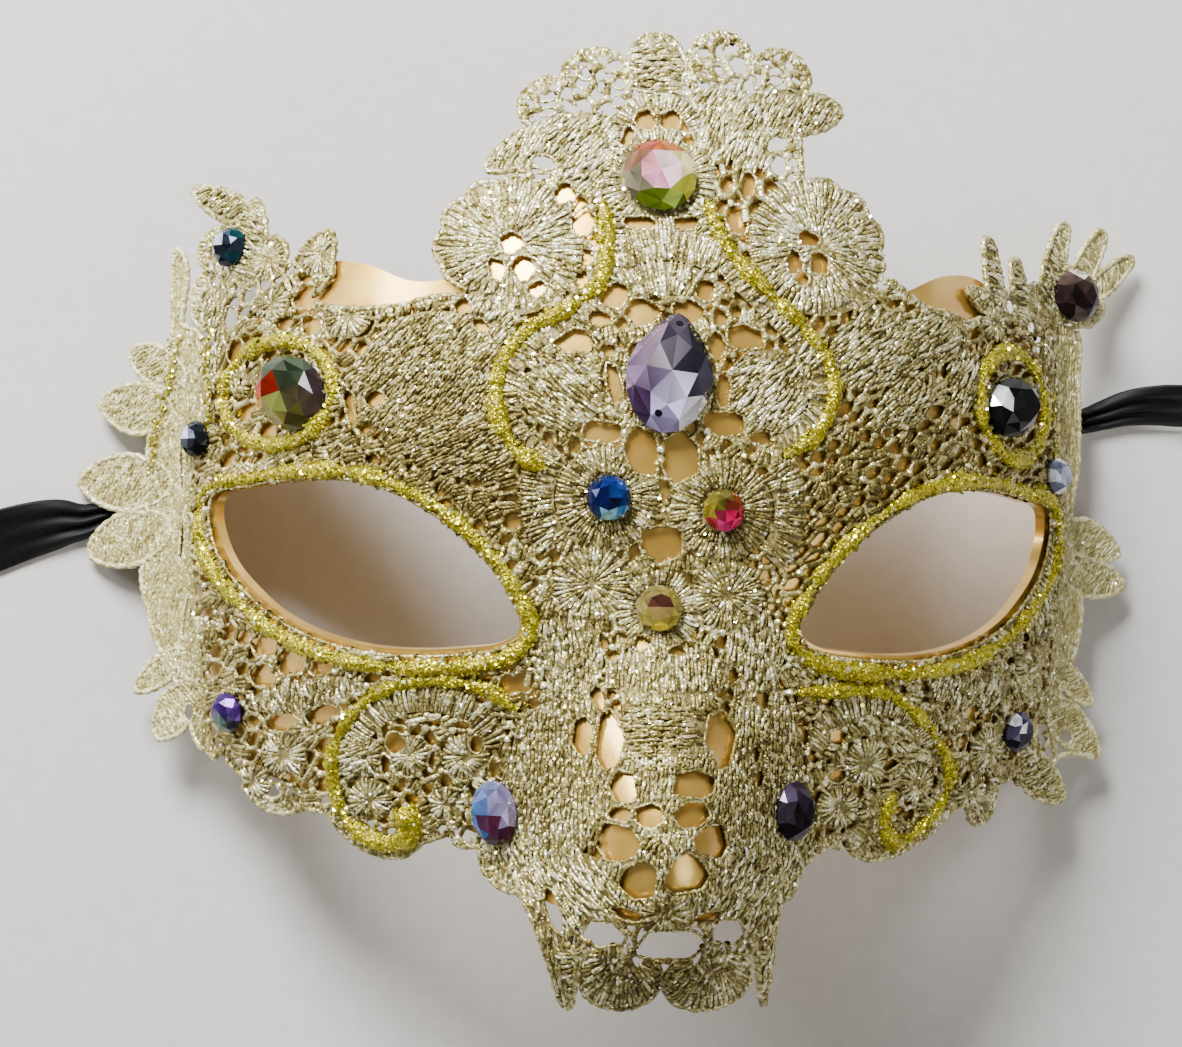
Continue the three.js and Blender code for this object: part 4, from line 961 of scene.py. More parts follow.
def fanStitches(x, y, r, inner, start=0, sweep=360):
    depth, overlap = r * (1 - inner), fanSet["overlap"]
    steps = [1.0]
    if depth >= fanSet["deepFrom"]:
        count = max(2, round((depth - fanSet["rimRow"]) / fanSet["row"]) + 1)
        steps += list(np.linspace(1 - fanSet["rimRow"] / r, inner, count))
    rows = [(max(inner, q - overlap), p + overlap) for p, q in zip(steps, steps[1:] or [inner])]
    ends = [[], []]
    for low, high in rows:
        count = max(6, int(math.radians(sweep) * (0.35 * low + 0.65 * high) * r / fanSet["pitch"]))
        ray = np.arange(count) + 0.5 + chance.uniform(-fanSet["askew"], fanSet["askew"], count)
        t = np.radians(start + sweep * ray / count)
        for side, share, lean in ((0, low, 0), (1, high, fanSet["lean"])):
            reach = r * (share + fanSet["ragged"] * (1 - inner) * chance.standard_normal(count))
            a = t + lean * chance.standard_normal(count)
            ends[side].append(np.array([x, y]) + reach[:, None] * np.stack([np.cos(a), np.sin(a)], -1))
    return [np.vstack(ends[0]), np.vstack(ends[1])]


# short stitches side by side across an oval, at one angle, laid like bricks and a little askew
satinSet = {"pitch": 0.52, "wideFrom": 6.2, "wideBrick": 1.5, "brick": 2.3, "ragged": 0.2, "shortest": 0.4,
            "skew": 0.15, "stray": 0.08, "overlap": 0.12}


def satinStitches(x, y, rx, ry, turn, angle, pitch=satinSet["pitch"]):
    a = math.radians(angle)
    ahead, aside = np.array([math.cos(a), math.sin(a)]), np.array([-math.sin(a), math.cos(a)])
    reach = max(rx, ry)
    brick = satinSet["wideBrick" if min(rx, ry) > satinSet["wideFrom"] else "brick"]
    rows = []
    for offset in np.arange(-reach, reach, pitch):
        t = np.linspace(-reach, reach, 81)
        spots = np.array([x, y]) + offset * aside + t[:, None] * ahead
        on = np.flatnonzero(ovalSpots(spots, (x, y, rx, ry, turn)) < 1)
        if len(on) < 3:
            continue
        cuts = np.arange(t[on[0]] - brick * chance.uniform(0, 0.6), t[on[-1]] + 0.4 * brick, brick)
        cuts = cuts + chance.normal(0, satinSet["ragged"] * brick, len(cuts))
        rows += [(offset, p, q) for p, q in zip(cuts, cuts[1:]) if q - p > satinSet["shortest"]]
    if not rows:
        return [np.zeros((0, 2)), np.zeros((0, 2))]
    offset, low, high = (column[:, None] for column in np.array(rows).T)
    skew = chance.normal(0, satinSet["skew"], (len(rows), 1))
    middle = np.array([x, y]) + offset * aside + 0.5 * (low + high) * ahead
    middle = middle + chance.normal(0, satinSet["stray"], (len(rows), 2))
    half = (0.5 * (high - low) + satinSet["overlap"]) * (ahead + skew * aside)
    return [middle - half, middle + half]


# stitches set square to a line, all on one side of it
bandSet = {"pitch": 0.7, "lean": 0.25, "ragged": 0.3}


def bandStitches(path, inner, outer):
    line = openLine(path, bandSet["pitch"])
    along = unit(np.gradient(line, axis=0))
    aside = leftOf(along) + bandSet["lean"] * along * chance.standard_normal((len(line), 1))
    far = outer + bandSet["ragged"] * chance.standard_normal((len(line), 1))
    return [line + aside * inner, line + aside * far]


netUneven = 0.34  # how far a mesh of the net strays, as a share of its size


# bars of an open net: lines between the middles of neighbouring triangles, a rough honeycomb
def netBars(low, high, cell, stretch, angle):
    a = math.radians(angle)
    turn = np.array([[math.cos(a), math.sin(a)], [-math.sin(a), math.cos(a)]])
    middle, reach = 0.5 * (low + high), 0.5 * np.linalg.norm(high - low) + cell
    grid = triangleGrid((-reach, -reach), (reach, reach), cell)
    grid = grid + chance.uniform(-netUneven, netUneven, grid.shape) * cell
    made = delaunay_2d_cdt([Vector(p) for p in grid], [], [], 0, 1e-4, False)
    spots = np.array([v[:] for v in made[0]])
    faces = np.array(made[2])
    centres = (spots[faces].mean(1) * np.array([stretch, 1])) @ turn + middle
    sides, pairs = {}, []
    for k, face in enumerate(faces):
        for i in range(3):
            key = tuple(sorted((int(face[i]), int(face[(i + 1) % 3]))))
            if key in sides:
                pairs.append((sides.pop(key), k))
            else:
                sides[key] = k
    pairs = np.array(pairs)
    meshes = (grid * np.array([stretch, 1])) @ turn + middle
    return meshes, centres, centres[pairs[:, 0]], centres[pairs[:, 1]]


# strands from plan to plan, each arched over the cloth; closed ones are whole tubes
def strandMesh(name, start, end, radius, base, bulge, shade, closed):
    t = np.array([0, 0.28, 0.72, 1.0])
    thin = np.array([1.1, 0.9, 0.95, 1.1]) if closed else np.array([0.55, 1, 1, 0.55])
    plan = start[:, None] + (end - start)[:, None] * t[None, :, None]
    rise = base[:, None] + bulge[:, None] * np.sqrt(np.sin(math.pi * np.clip(t, 0.01, 0.99)))[None]
    points, normals = lifted(plan, rise)
    along = unit(np.gradient(points, axis=1))
    aside = unit(np.cross(along, normals))
    up = np.cross(aside, along)
    around = np.radians(np.arange(0, 360, 72) if closed else [-88, -32, 32, 88])
    size = (radius[:, None] * thin[None] * mm)[..., None, None]
    verts = points[:, :, None] + size * (np.sin(around)[:, None] * aside[:, :, None]
                                         + np.cos(around)[:, None] * up[:, :, None])
    count, stations, sides = verts.shape[:3]
    at = np.arange(count * stations * sides).reshape(count, stations, sides)
    beside = np.roll(at, -1, 2)
    if not closed:
        at, beside = at[:, :, :-1], beside[:, :, :-1]
    quads = np.stack([at[:, :-1], at[:, 1:], beside[:, 1:], beside[:, :-1]], -1).reshape(-1, 4)
    data = bpy.data.meshes.new(name)
    data.from_pydata(verts.reshape(-1, 3), [], quads)
    # strand ends darker: painted shade where they sink into the cloth
    ends = np.array([0.75, 1, 1, 0.75])
    # the painted light and shade of each place is added to the thread's shade
    shade = (shade[:, None] * ends + paintedShading(plan))[..., None]
    setPoints(data, "shade", np.clip(shade + np.zeros(sides), 0, 1))
    setPoints(data, "pale", paleness(plan[..., 0])[..., None] + np.zeros(sides))
    data.shade_smooth()
    return data


# bars of the net between the motifs, with a knot where they meet; the bars are darker than the stitches,
# painted shade between the motifs
barSet = {"height": 0.36, "bulge": (0, 0.12), "overlap": 0.25, "shortest": 0.45, "shade": 0.38,
          "knotSize": (1.05, 1.45), "knotShade": 0.6, "knotVary": 0.25}
# three strands that fill a mesh of the net, darker than the stitches as painted shade between the motifs
tuftSet = {"radius": 0.34, "height": 0.4, "bulge": (0.15, 0.45), "long": 0.62, "apart": 0.27, "lean": 30,
           "askew": 0.12, "shortest": 0.7, "shade": 0.4}
# embroidery on the cloth; bulge is how far a stitch stands up, dome what an oval adds in its middle;
# higher stitches get a lighter shade, painted light on the raised parts
stitchSet = {"radius": 0.26, "height": 0.48, "shade": 0.54, "bulge": 0.3, "dome": 0.55, "domeReach": 5,
             "fringeFlat": 0.6, "fanBulge": 0.42, "bandBulge": 0.4, "rimReach": (0.9, 1.5), "rimLean": 0.3,
             "rimBare": 0.7, "plainBulge": 0.12, "plainAngle": 88, "plainPitch": 0.6, "plainReach": 1.5,
             "vary": 0.2, "bulgeShade": 0.25}
threadUneven = (0.85, 1.15)  # share of a strand's radius


# round knots where the bars of the net cross
def knotMesh(name, spots, radius, shade):
    points, normals = lifted(spots, np.full(len(spots), barSet["height"]))
    across = unit(np.cross(normals, [0.3, 1, 0.1]))
    along = np.cross(normals, across)
    a = np.arange(6) * math.pi / 3
    rings = []
    for tall, wide in ((0.0, 1.0), (0.62, 0.86), (1.0, 0.3)):
        flat = np.cos(a)[:, None] * across[:, None] + np.sin(a)[:, None] * along[:, None]
        ring = flat * wide + normals[:, None] * tall
        rings.append(points[:, None] + radius[:, None, None] * mm * ring)
    verts = np.stack(rings, 1)
    at = np.arange(len(spots) * 18).reshape(-1, 3, 6)
    beside = np.roll(at, -1, 2)
    quads = np.stack([at[:, :-1], beside[:, :-1], beside[:, 1:], at[:, 1:]], -1).reshape(-1, 4)
    data = bpy.data.meshes.new(name)
    data.from_pydata(verts.reshape(-1, 3), [], [list(q) for q in quads] + [list(top) for top in at[:, 2]])
    setPoints(data, "shade", np.repeat(np.clip(shade + paintedShading(spots), 0, 1), 18))
    setPoints(data, "pale", np.repeat(paleness(spots[:, 0]), 18))
    data.shade_smooth()
    return data


def farCorner(raster):
    grid, low, cell = raster
    return low + np.array(grid.shape)[::-1] * cell


def laceStitches(node):  # fans, ovals and bands of one piece, cut to its outline
    raster = rasters[node]
    low, high = raster[1], farCorner(raster)
    starts, ends, bulges = [], [], []

    def keepStitches(pair, around, bulge):
        if len(pair[0]):
            a, b, kept = clipped(raster, pair[0], pair[1], around)
            starts.append(a)
            ends.append(b)
            bulges.append(np.broadcast_to(bulge, kept.shape)[kept])

    def onPiece(x, y, reach):
        return low[0] < x + reach and x - reach < high[0] and low[1] < y + reach and y - reach < high[1]

    for row in fanTable:
        if onPiece(*row[:3]):
            keepStitches(fanStitches(*row), 0.6, stitchSet["fanBulge"])
    for x, y, rx, ry, turn, angle in satinTable:
        if onPiece(x, y, max(rx, ry)):
            pair = satinStitches(x, y, rx, ry, turn, angle)
            depth = 1 - ovalSpots(0.5 * (pair[0] + pair[1]), (x, y, rx, ry, turn)) ** 2
            dome = stitchSet["dome"] * np.clip(depth, 0, 1) * min(1, stitchSet["domeReach"] / max(rx, ry))
            flat = 1 - stitchSet["fringeFlat"] * paleness(x)
            keepStitches(pair, 0.5, (stitchSet["bulge"] + dome) * flat)
    for side, near, far in bandTable:
        if node in ("lace_forehead", "lace_crown"):
            keepStitches(bandStitches(scrollPaths[side], near, far), 0.5, stitchSet["bandBulge"])
    if node not in netTable:  # plain fringe: one field of upright stitches
        middle, half = 0.5 * (low + high), 0.5 * (high - low)
        half = half * stitchSet["plainReach"]
        pair = satinStitches(*middle, *half, 0, stitchSet["plainAngle"], stitchSet["plainPitch"])
        keepStitches(pair, 0.5, stitchSet["plainBulge"])
    else:
        for line in outerRuns[node]:
            along = unit(np.gradient(line, axis=0))
            inward = leftOf(along) + stitchSet["rimLean"] * along * chance.standard_normal((len(line), 1))
            deep = chance.uniform(*stitchSet["rimReach"], (len(line), 1))
            bare = ~insideAny(line + stitchSet["rimBare"] * inward, solidShapes)
            keepStitches([line[bare], (line + inward * deep)[bare]], 0.5, stitchSet["bulge"])
    start, end, bulge = np.vstack(starts), np.vstack(ends), np.concatenate(bulges)
    count = len(start)
    shade = stitchSet["shade"] + stitchSet["vary"] * chance.standard_normal(count)
    # higher stitches lighter: painted light on the raised parts
    shade = np.clip(shade + stitchSet["bulgeShade"] * (bulge - stitchSet["bulge"]), 0, 1)
    radius = stitchSet["radius"] * chance.uniform(*threadUneven, count)
    base = np.full(count, stitchSet["height"])
    addThread(node, strandMesh(node + "_stitches", start, end, radius, base, bulge, shade, False))
    return count


def laceTufts(node, free, meshes):
    mesh, _, angle, _, _ = netTable[node]
    lean = np.radians(angle + chance.normal(0, tuftSet["lean"], len(meshes)))
    ahead = np.stack([np.cos(lean), np.sin(lean)], -1) * mesh * tuftSet["long"]
    ahead = ahead * chance.uniform(0.8, 1.2, (len(meshes), 1))
    aside = np.stack([-np.sin(lean), np.cos(lean)], -1) * mesh * tuftSet["apart"]
    ends = [np.vstack([meshes + k * aside + sign * ahead for k in (-1, 0, 1)]) for sign in (-1, 1)]
    ends = [end + chance.normal(0, tuftSet["askew"], end.shape) for end in ends]
    start, end, _ = clipped(free, *ends, 0.5, tuftSet["shortest"])
    count = len(start)
    if count:  # an open net may have no filled mesh
        radius = tuftSet["radius"] * chance.uniform(0.85, 1.2, count)
        base = np.full(count, tuftSet["height"])
        bulge = chance.uniform(*tuftSet["bulge"], count)
        shade = shades(tuftSet["shade"], count)
        addThread(node, strandMesh(node + "_tufts", start, end, radius, base, bulge, shade, False))


def laceNet(node):  # tufts, bars and knots between the motifs of one piece
    mesh, stretch, angle, bar, filled = netTable[node]
    raster = rasters[node]
    grid, low, cell = raster
    meshes, spots, start, end = netBars(low, farCorner(raster), mesh, stretch, angle)
    free = (grid & ~markShapes(raster, solidShapes), low, cell)
    start, end, _ = clipped(free, start, end, 0.5, barSet["shortest"])
    meshes = meshes[covered(free, meshes)]
    laceTufts(node, free, meshes[chance.random(len(meshes)) < filled])
    count = len(start)
    run = unit(end - start) * barSet["overlap"]
    radius = bar * chance.uniform(*threadUneven, count)
    shade = shades(barSet["shade"], count)
    base = np.full(count, barSet["height"])
    bulge = chance.uniform(*barSet["bulge"], count)
    addThread(node, strandMesh(node + "_bars", start - run, end + run, radius, base, bulge, shade, True))
    spots = spots[covered(free, spots)]
    size = bar * chance.uniform(*barSet["knotSize"], len(spots))
    shade = shades(barSet["knotShade"], len(spots), barSet["knotVary"])
    addThread(node, knotMesh(node + "_knots", spots, size, shade))
    return count


strandTotal, barTotal = 0, 0
rasters = {}
for node in laceNodes:
    raster = rasters[node] = rasterOf(laceLoops[node])
    raster[0][markShapes(raster, laceGaps[node])] = False
    strandTotal += laceStitches(node)
    barTotal += laceNet(node) if node in netTable else 0
print("stitches:", strandTotal, "net bars:", barTotal)


# small flat flakes lying on points, each tilted its own way
def flakeMesh(name, points, normals, size, tilt, shade, sides):
    count = len(points)
    lean = unit(normals + tilt * chance.standard_normal((count, 3)))
    other = unit(np.cross(lean, chance.standard_normal((count, 3))))
    third = np.cross(lean, other)
    turn = np.arange(sides) * 2 * math.pi / sides
    verts = points[:, None] + size[:, None, None] * mm * (np.cos(turn)[:, None] * other[:, None]
                                                         + np.sin(turn)[:, None] * third[:, None])
    data = bpy.data.meshes.new(name)
    data.from_pydata(verts.reshape(-1, 3), [], np.arange(count * sides).reshape(count, sides))
    setPoints(data, "shade", np.repeat(shade, sides))
    return data


# film specks in the thread that catch the light
speckSet = {"perArea": 1.0, "size": (0.15, 0.34), "tilt": 0.42, "height": (0.8, 1.25),
            "shade": (0.62, 1.0), "sides": 4, "fringeLoss": 0.85}
for node in laceNodes:
    grid, low, cell = rasters[node]
    if node in netTable:
        grid = grid & markShapes(rasters[node], solidShapes)
    on = np.argwhere(grid)
    total = int(len(on) * cell * cell * speckSet["perArea"])
    plan = low + (on[chance.integers(0, len(on), total)][:, ::-1] + chance.random((total, 2))) * cell
    plan = plan[chance.random(total) > speckSet["fringeLoss"] * paleness(plan[:, 0])]
    points, normals = lifted(plan, chance.uniform(*speckSet["height"], len(plan)))
    size = chance.uniform(*speckSet["size"], len(plan))
    shade = chance.uniform(*speckSet["shade"], len(plan))
    data = flakeMesh(node + "_specks", points, normals, size, speckSet["tilt"], shade, speckSet["sides"])
    addObject(data, filmFlake, node, "lace")
print("lace specks done")

# glitter lines: rims round the eyes, scrolls, temple loops and curls
glitterSet = {"radius": 1.26, "lump": 0.44, "step": 0.55, "height": 0.42, "rim": 1.4, "lowRim": 1.2,
              "eyeWide": 0.82, "eyeLow": 0.2, "endWide": 0.6, "endRun": 5}
# flakes on the glue, so many to a millimetre, and strays beside it
flakeSet = {"perLength": 14.0, "size": (0.14, 0.34), "tilt": 0.6, "sides": 6, "round": 1.5,
            "out": (0.92, 1.1), "along": 0.4, "large": 0.03, "largeSize": 1.5, "shade": (0.0, 0.58),
            "bright": 0.1, "brightShade": 0.9, "strays": 0.12, "spread": 0.9, "strayHeight": (0.9, 1.3)}
streakSet = {"step": 0.14, "spread": 0.3, "height": 1.2}


def glitterLine(name, plan, closed, wide=1.0):
    points, normals = lifted(plan, np.full(len(plan), glitterSet["height"]))
    rough = np.convolve(chance.standard_normal(len(plan) + 4), np.ones(5) / 5, "valid")
    radius = glitterSet["radius"] * wide * (1 + glitterSet["lump"] * rough)
    if not closed:
        fromEnd = np.minimum(np.arange(len(plan)), np.arange(len(plan))[::-1]) * glitterSet["step"]
        radius = radius * np.clip(glitterSet["endWide"] + fromEnd / glitterSet["endRun"], 0, 1)
    core = cords(name + "_glue", [(points, radius, closed)], 2)
    addObject(core, glitterGlue, name, "glitter")
    along = unit(np.gradient(points, axis=0))
    total = int(len(points) * glitterSet["step"] * flakeSet["perLength"])
    pick = chance.integers(0, len(points), total)
    angle = chance.uniform(-flakeSet["round"], flakeSet["round"], total)
    aside = unit(np.cross(along[pick], normals[pick]))
    out = np.sin(angle)[:, None] * aside + np.cos(angle)[:, None] * normals[pick]
    spots = points[pick] + out * (radius[pick] * chance.uniform(*flakeSet["out"], total) * mm)[:, None]
    spots += along[pick] * chance.uniform(-flakeSet["along"], flakeSet["along"], (total, 1)) * mm
    strays = chance.integers(0, len(plan), int(total * flakeSet["strays"]))
    addFlakes(name + "_flakes", spots, out, plan[strays])


def addFlakes(name, spots, out, near):  # flakes on the glue, and strays on the lace near it
    near = near + chance.normal(0, flakeSet["spread"], near.shape)
    near = near[~insideAny(near, eyeCuts)]
    stray, tops = lifted(near, chance.uniform(*flakeSet["strayHeight"], len(near)))
    spots, out = np.vstack([spots, stray]), np.vstack([out, tops])
    count = len(spots)
    size = chance.uniform(*flakeSet["size"], count)
    size = size * np.where(chance.random(count) < flakeSet["large"], flakeSet["largeSize"], 1.0)
    bright = chance.random(count) < flakeSet["bright"]
    shade = np.where(bright, flakeSet["brightShade"], chance.uniform(*flakeSet["shade"], count))
    data = flakeMesh(name, spots, out, size, flakeSet["tilt"], shade, flakeSet["sides"])
    addObject(data, filmFlake, name.rsplit("_", 1)[0], "glitter")


curlEnd = {"left": 1.8, "right": 1.1}  # swelling of the blob that ends a cheek curl
streakPaths = {
    "left": [[(-66.5, 41), (-66.9, 35), (-66.2, 29), (-66.8, 22)],
             [(-72, 40), (-73.2, 34), (-74.4, 28.5), (-75.6, 23.5), (-76.6, 19)]],
    "right": [[(66, 34), (66.4, 29), (66.8, 23)]],
}
for side, eye, hand in zip(("left", "right"), eyeLoops, (-1, 1)):
    rim = offsetLoop(eye, glitterSet["rim"] + glitterSet["lowRim"] * lowSide(eye, hand))
    rim = softLoop(rim[::3], glitterSet["step"])
    low = lowSide(eye, hand)[nearest(rim, eye)[1]]
    glitterLine("glitter_eye_" + side, rim, True, glitterSet["eyeWide"] + glitterSet["eyeLow"] * low)
    glitterLine("glitter_scroll_" + side, openLine(scrollPaths[side], glitterSet["step"]), False)
    curl = openLine(curlPaths[side], glitterSet["step"])
    swell = np.interp(np.linspace(0, 1, len(curl)), (0, 0.8, 1), (0.9, 1, curlEnd[side]))
    glitterLine("glitter_curl_" + side, curl, False, swell)
    x, y, rx, ry = templeLoops[side]
    t = np.linspace(0, 2 * math.pi, 90, endpoint=False)
    glitterLine("glitter_temple_" + side, np.stack([x + rx * np.cos(t), y + ry * np.sin(t)], -1), True)
    streak = np.vstack([openLine(path, streakSet["step"]) for path in streakPaths[side]])
    spots = streak + chance.normal(0, streakSet["spread"], streak.shape)
    points, normals = lifted(spots, np.full(len(streak), streakSet["height"]))
    addFlakes("glitter_temple_" + side + "_streak", points, normals, streak[::3])
print("glitter lines done")

# stones: plan place, half sizes, height, turn, colours round the crown and in the table; the colours are
# partly the glass's own and partly painted reflections, the near-white ones painted glints
# columns: name slot x y rx ry high turn crown table
stoneTable = [
    ("crown", "stone_iris", -0.8, 60.2, 5.4, 5.6, 3, 22,
     "d8c88a b0602c 84321c 74503c 6a6450 4f5f10 70841a a8a834",
     "fff2ea f8d4d8 d88a96 dc8a9c e494ac e494ac dc8ca4 f2bcc6"),
    ("drop", "stone_lilac", 0.2, 31.2, 6.4, 8.8, 4.2, -8,
     "3a3446 22202a 443c4a 7e6c7c 725e7a 3c2a46 b0a2d2 e6e0f8",
     "5c5268 24222a 5a525e 9a8c9a 887888 665872 a69ab8 dcd4f0"),
    ("blue", "stone_blue", -8.3, 13.5, 3.2, 3.2, 2.6, 0,
     "12296a 1e4690 0e2260 091646 070f38 0f2c64 90cdf8 3f84cc",
     "0b1d52 13316c 050818 091240 05071c 08103c 11275c 060b24"),
    ("red", "stone_red", 8, 12, 3, 3, 2.6, 0,
     "980a2c 6e2c18 5e5620 6e6622 7c6c1e a83038 ff3c9c e40c6c",
     "6e0c22 541c14 4c4418 565018 62481a 86203a c41c6c a80840"),
    ("bridge", "stone_yellow", -0.8, -2.4, 3.3, 3.3, 2.6, 0,
     "8c7f3e 857838 7c6f38 7c7040 8c8048 a89a44 e8c83c b8a63c",
     "5c3a30 4a2820 3c1e18 4a2820 5c4034 8a7440 c0a040 8a7440"),
    ("temple_left", "stone_olive", -52.8, 29.4, 7.0, 5.5, 3.6, -24,
     "3c3228 2c2226 26321f 2c3a28 5a0a06 9c2408 6a6428 4e4a20",
     "34301e 2a2024 26301f 202a1a 6a1408 8c3010 6c7434 4c4c24"),
    ("temple_right", "stone_dark", 55, 29.6, 6, 4.6, 3.6, 20,
     "060608 08070a 0c0c10 dce2ec 101014 08070a 1a120e 0a0808",
     "050507 060508 08080c 16171c 070709 050507 0a0809 070507"),
    ("corner_left", "stone_dark", -62.8, 53.3, 3.3, 3.2, 2.4, 0,
     "1c2430 123c44 2c3846 8ca4bc b0c0d0 3c4650 14181e 12303a",
     "14181e 1c2430 7688a0 b4c4d4 2c3846 14181e 123c44 0e1216"),
    ("corner_right", "stone_dark", 71.4, 49.9, 4.5, 4.3, 2.8, 0,
     "1e1616 3a2a28 cfc4c0 54443f 2a1e1e 1c1210 3a2a24 120e0e",
     "2a1e1e cfc4c0 3a2c2a 1e1616 120e0e 4a3a34 1c1210 120e0e"),
    ("eye_left", "stone_dark", -67.7, 23.6, 2.9, 2.9, 2.2, 0,
     "14151c 1a1c26 383c4a b0bcd4 7682a0 14151c 0a0b10 0e0f16",
     "383c4a 7682a0 c8d0e2 e0e6f2 9aa6c0 383c4a 14151c 14151c"),
    ("eye_right", "stone_clear", 65.9, 20, 2.9, 2.9, 2.2, 0,
     "ffffff 8c90a8 f4f6ff 6c7088 e8ecf8 7c8098 f4f6ff 5c6078",
     "ffffff b4b8cc e8ecfc 8c90a8 ffffff a0a4b8 dce0f0 8c90a8"),
    ("cheek_left", "stone_violet", -62, -18.7, 3.1, 3.1, 2.2, 0,
     "3c2060 4c2a72 2c184c 3c2c5c 50506a 647868 506458 3c3c4c",
     "2c184c 4c2a72 3c2060 2c184c 62627a 647868 506458 2c2c3c"),
    ("cheek_right", "stone_violet", 58.8, -20.2, 3.2, 3.2, 2.2, 0,
     "20142c 2c2038 34284a f4f4ff 4c4460 20142c 180c24 180c24",
     "2c2038 34284a 8c88a4 f4f4ff 34284a 180c24 20142c 180c24"),
    ("nose_left", "stone_violet", -22.2, -31.8, 3.7, 4.8, 2.8, 0,
     "8a7ea2 7c749c 666c94 5c72a8 1c5a9c 184a8c 36102a 50243f",
     "72688a 7c749c 666c94 4c66a0 2a62a0 44243f 36102a 441830"),
    ("nose_right", "stone_dark", 18.6, -31.2, 3.6, 4.4, 2.8, 0,
     "2a2030 1c1420 241a2a 4a3e54 2c2230 140e14 1a1218 120c10",
     "1a121e 2a2030 4a3c50 241a2a 120c12 1a1218 1e141c 120c10"),
]
sewingHoles = {"drop": [(0.2, 7), (-1, -6.4)]}  # places on the stone, millimetres
# rings of a cut stone: share of the half size, share of the height, half-step turn, doubled
cutRings = [(0.8, -0.3, 0, 2), (0.92, 0.0, 0, 2), (1.0, 0.26, 0, 2), (1.0, 0.36, 0, 2),
            (0.84, 0.74, 0.5, 1), (0.58, 1.0, 0, 1)]
pearTaper = {"drop": 0.45}
# seat is the height of a stone's foot; low facets, by their upward share, are darker, painted shade on the
# steep sides
stoneSet = {"sides": 8, "seat": 1.4, "largeFrom": 6, "largeSeat": 1.0, "flatter": 0.35, "tableUp": 0.999,
            "lowUp": 0.35, "lowShade": 0.55, "lowest": 0.2, "hole": (0.62, 0.5, 0.1),
            "holeColor": "#16131c"}


def cutStone(name, slot, x, y, rx, ry, high, turn, crown, table):
    sides, taper = stoneSet["sides"], pearTaper.get(name, 0)
    foot = stoneSet["seat" if rx < stoneSet["largeFrom"] else "largeSeat"]
    seat, up = lifted(np.array([[x, y]]), np.array([foot]), laceLow, max(0.5, 0.5 * rx))
    # glue lets it sit a little flatter than the slope
    up = (Vector(up[0]) + Vector((0, 0, stoneSet["flatter"]))).normalized()
    across = Vector((0, 1, 0)).cross(up).normalized()
    axes = Matrix((across, up.cross(across), up)).transposed().to_4x4()
    axes = Matrix.Translation(Vector(seat[0])) @ axes @ Matrix.Rotation(math.radians(turn), 4, "Z")
    bm = bmesh.new()
    for share, rise, half, double in cutRings:
        for k in range(sides * double):
            a = (k / double + half) * 2 * math.pi / sides
            v = share * math.sin(a)
            narrow = 1 - taper * max(0, v) ** 1.5
            bm.verts.new((share * math.cos(a) * rx * narrow * mm, v * ry * mm, rise * high * mm))
    bmesh.ops.convex_hull(bm, input=bm.verts[:])
    bmesh.ops.dissolve_limit(bm, angle_limit=math.radians(0.6), verts=bm.verts[:], edges=bm.edges[:])
    bm.normal_update()
    # the table is split into sectors, each coloured apart as painted reflections of the facets behind it
    bmesh.ops.poke(bm, faces=[f for f in bm.faces if f.normal.z > stoneSet["tableUp"]])
    bm.normal_update()
    layer = bm.loops.layers.float_color.new("facet")
    rims, centres = crown.split(), table.split()
    for face in bm.faces:
        spot = face.calc_center_median()
        step = math.degrees(math.atan2(spot.y / ry, spot.x / rx)) / (360 / sides)
        colors = centres if face.normal.z > stoneSet["tableUp"] else rims
        color = np.array(linear("#" + colors[int(round(step)) % sides]))
        # steep facets darkened as painted shade
        shade = stoneSet["lowShade"] if face.normal.z < stoneSet["lowUp"] else 1.0
        color[:3] *= chance.uniform(0.85, 1.15) * shade
        # brightness changes from corner to corner: painted reflections across each facet
        for corner in face.loops:
            corner[layer] = np.clip(color * [*np.full(3, chance.uniform(0.5, 1.5)), 1], 0, 1)
    surface = BVHTree.FromBMesh(bm)
    # sewing holes: small cones coloured dark, painted shade inside the holes
    for u, v in sewingHoles.get(name, ()):
        spot, normal, _, _ = surface.ray_cast(Vector((u * mm, v * mm, 1)), Vector((0, 0, -1)))
        turned = Matrix.Translation(spot) @ normal.to_track_quat("Z", "Y").to_matrix().to_4x4()
        wide, narrow, deep = stoneSet["hole"]
        made = bmesh.ops.create_cone(bm, cap_ends=True, segments=10, radius1=wide * mm,
                                     radius2=narrow * mm, depth=deep * mm, matrix=turned)
        for corner in {c for vert in made["verts"] for c in vert.link_loops}:
            corner[layer] = linear(stoneSet["holeColor"])
    bmesh.ops.transform(bm, matrix=axes, verts=bm.verts[:])
    for vert in bm.verts:
        vert.co.z = max(vert.co.z, stoneSet["lowest"] * mm)
    data = meshOf(bm, "stone_" + name + "_cut")
    addObject(data, cutGlass, "stone_" + name, slot)


for row in stoneTable:
    cutStone(*row)
print("stones:", len(stoneTable))


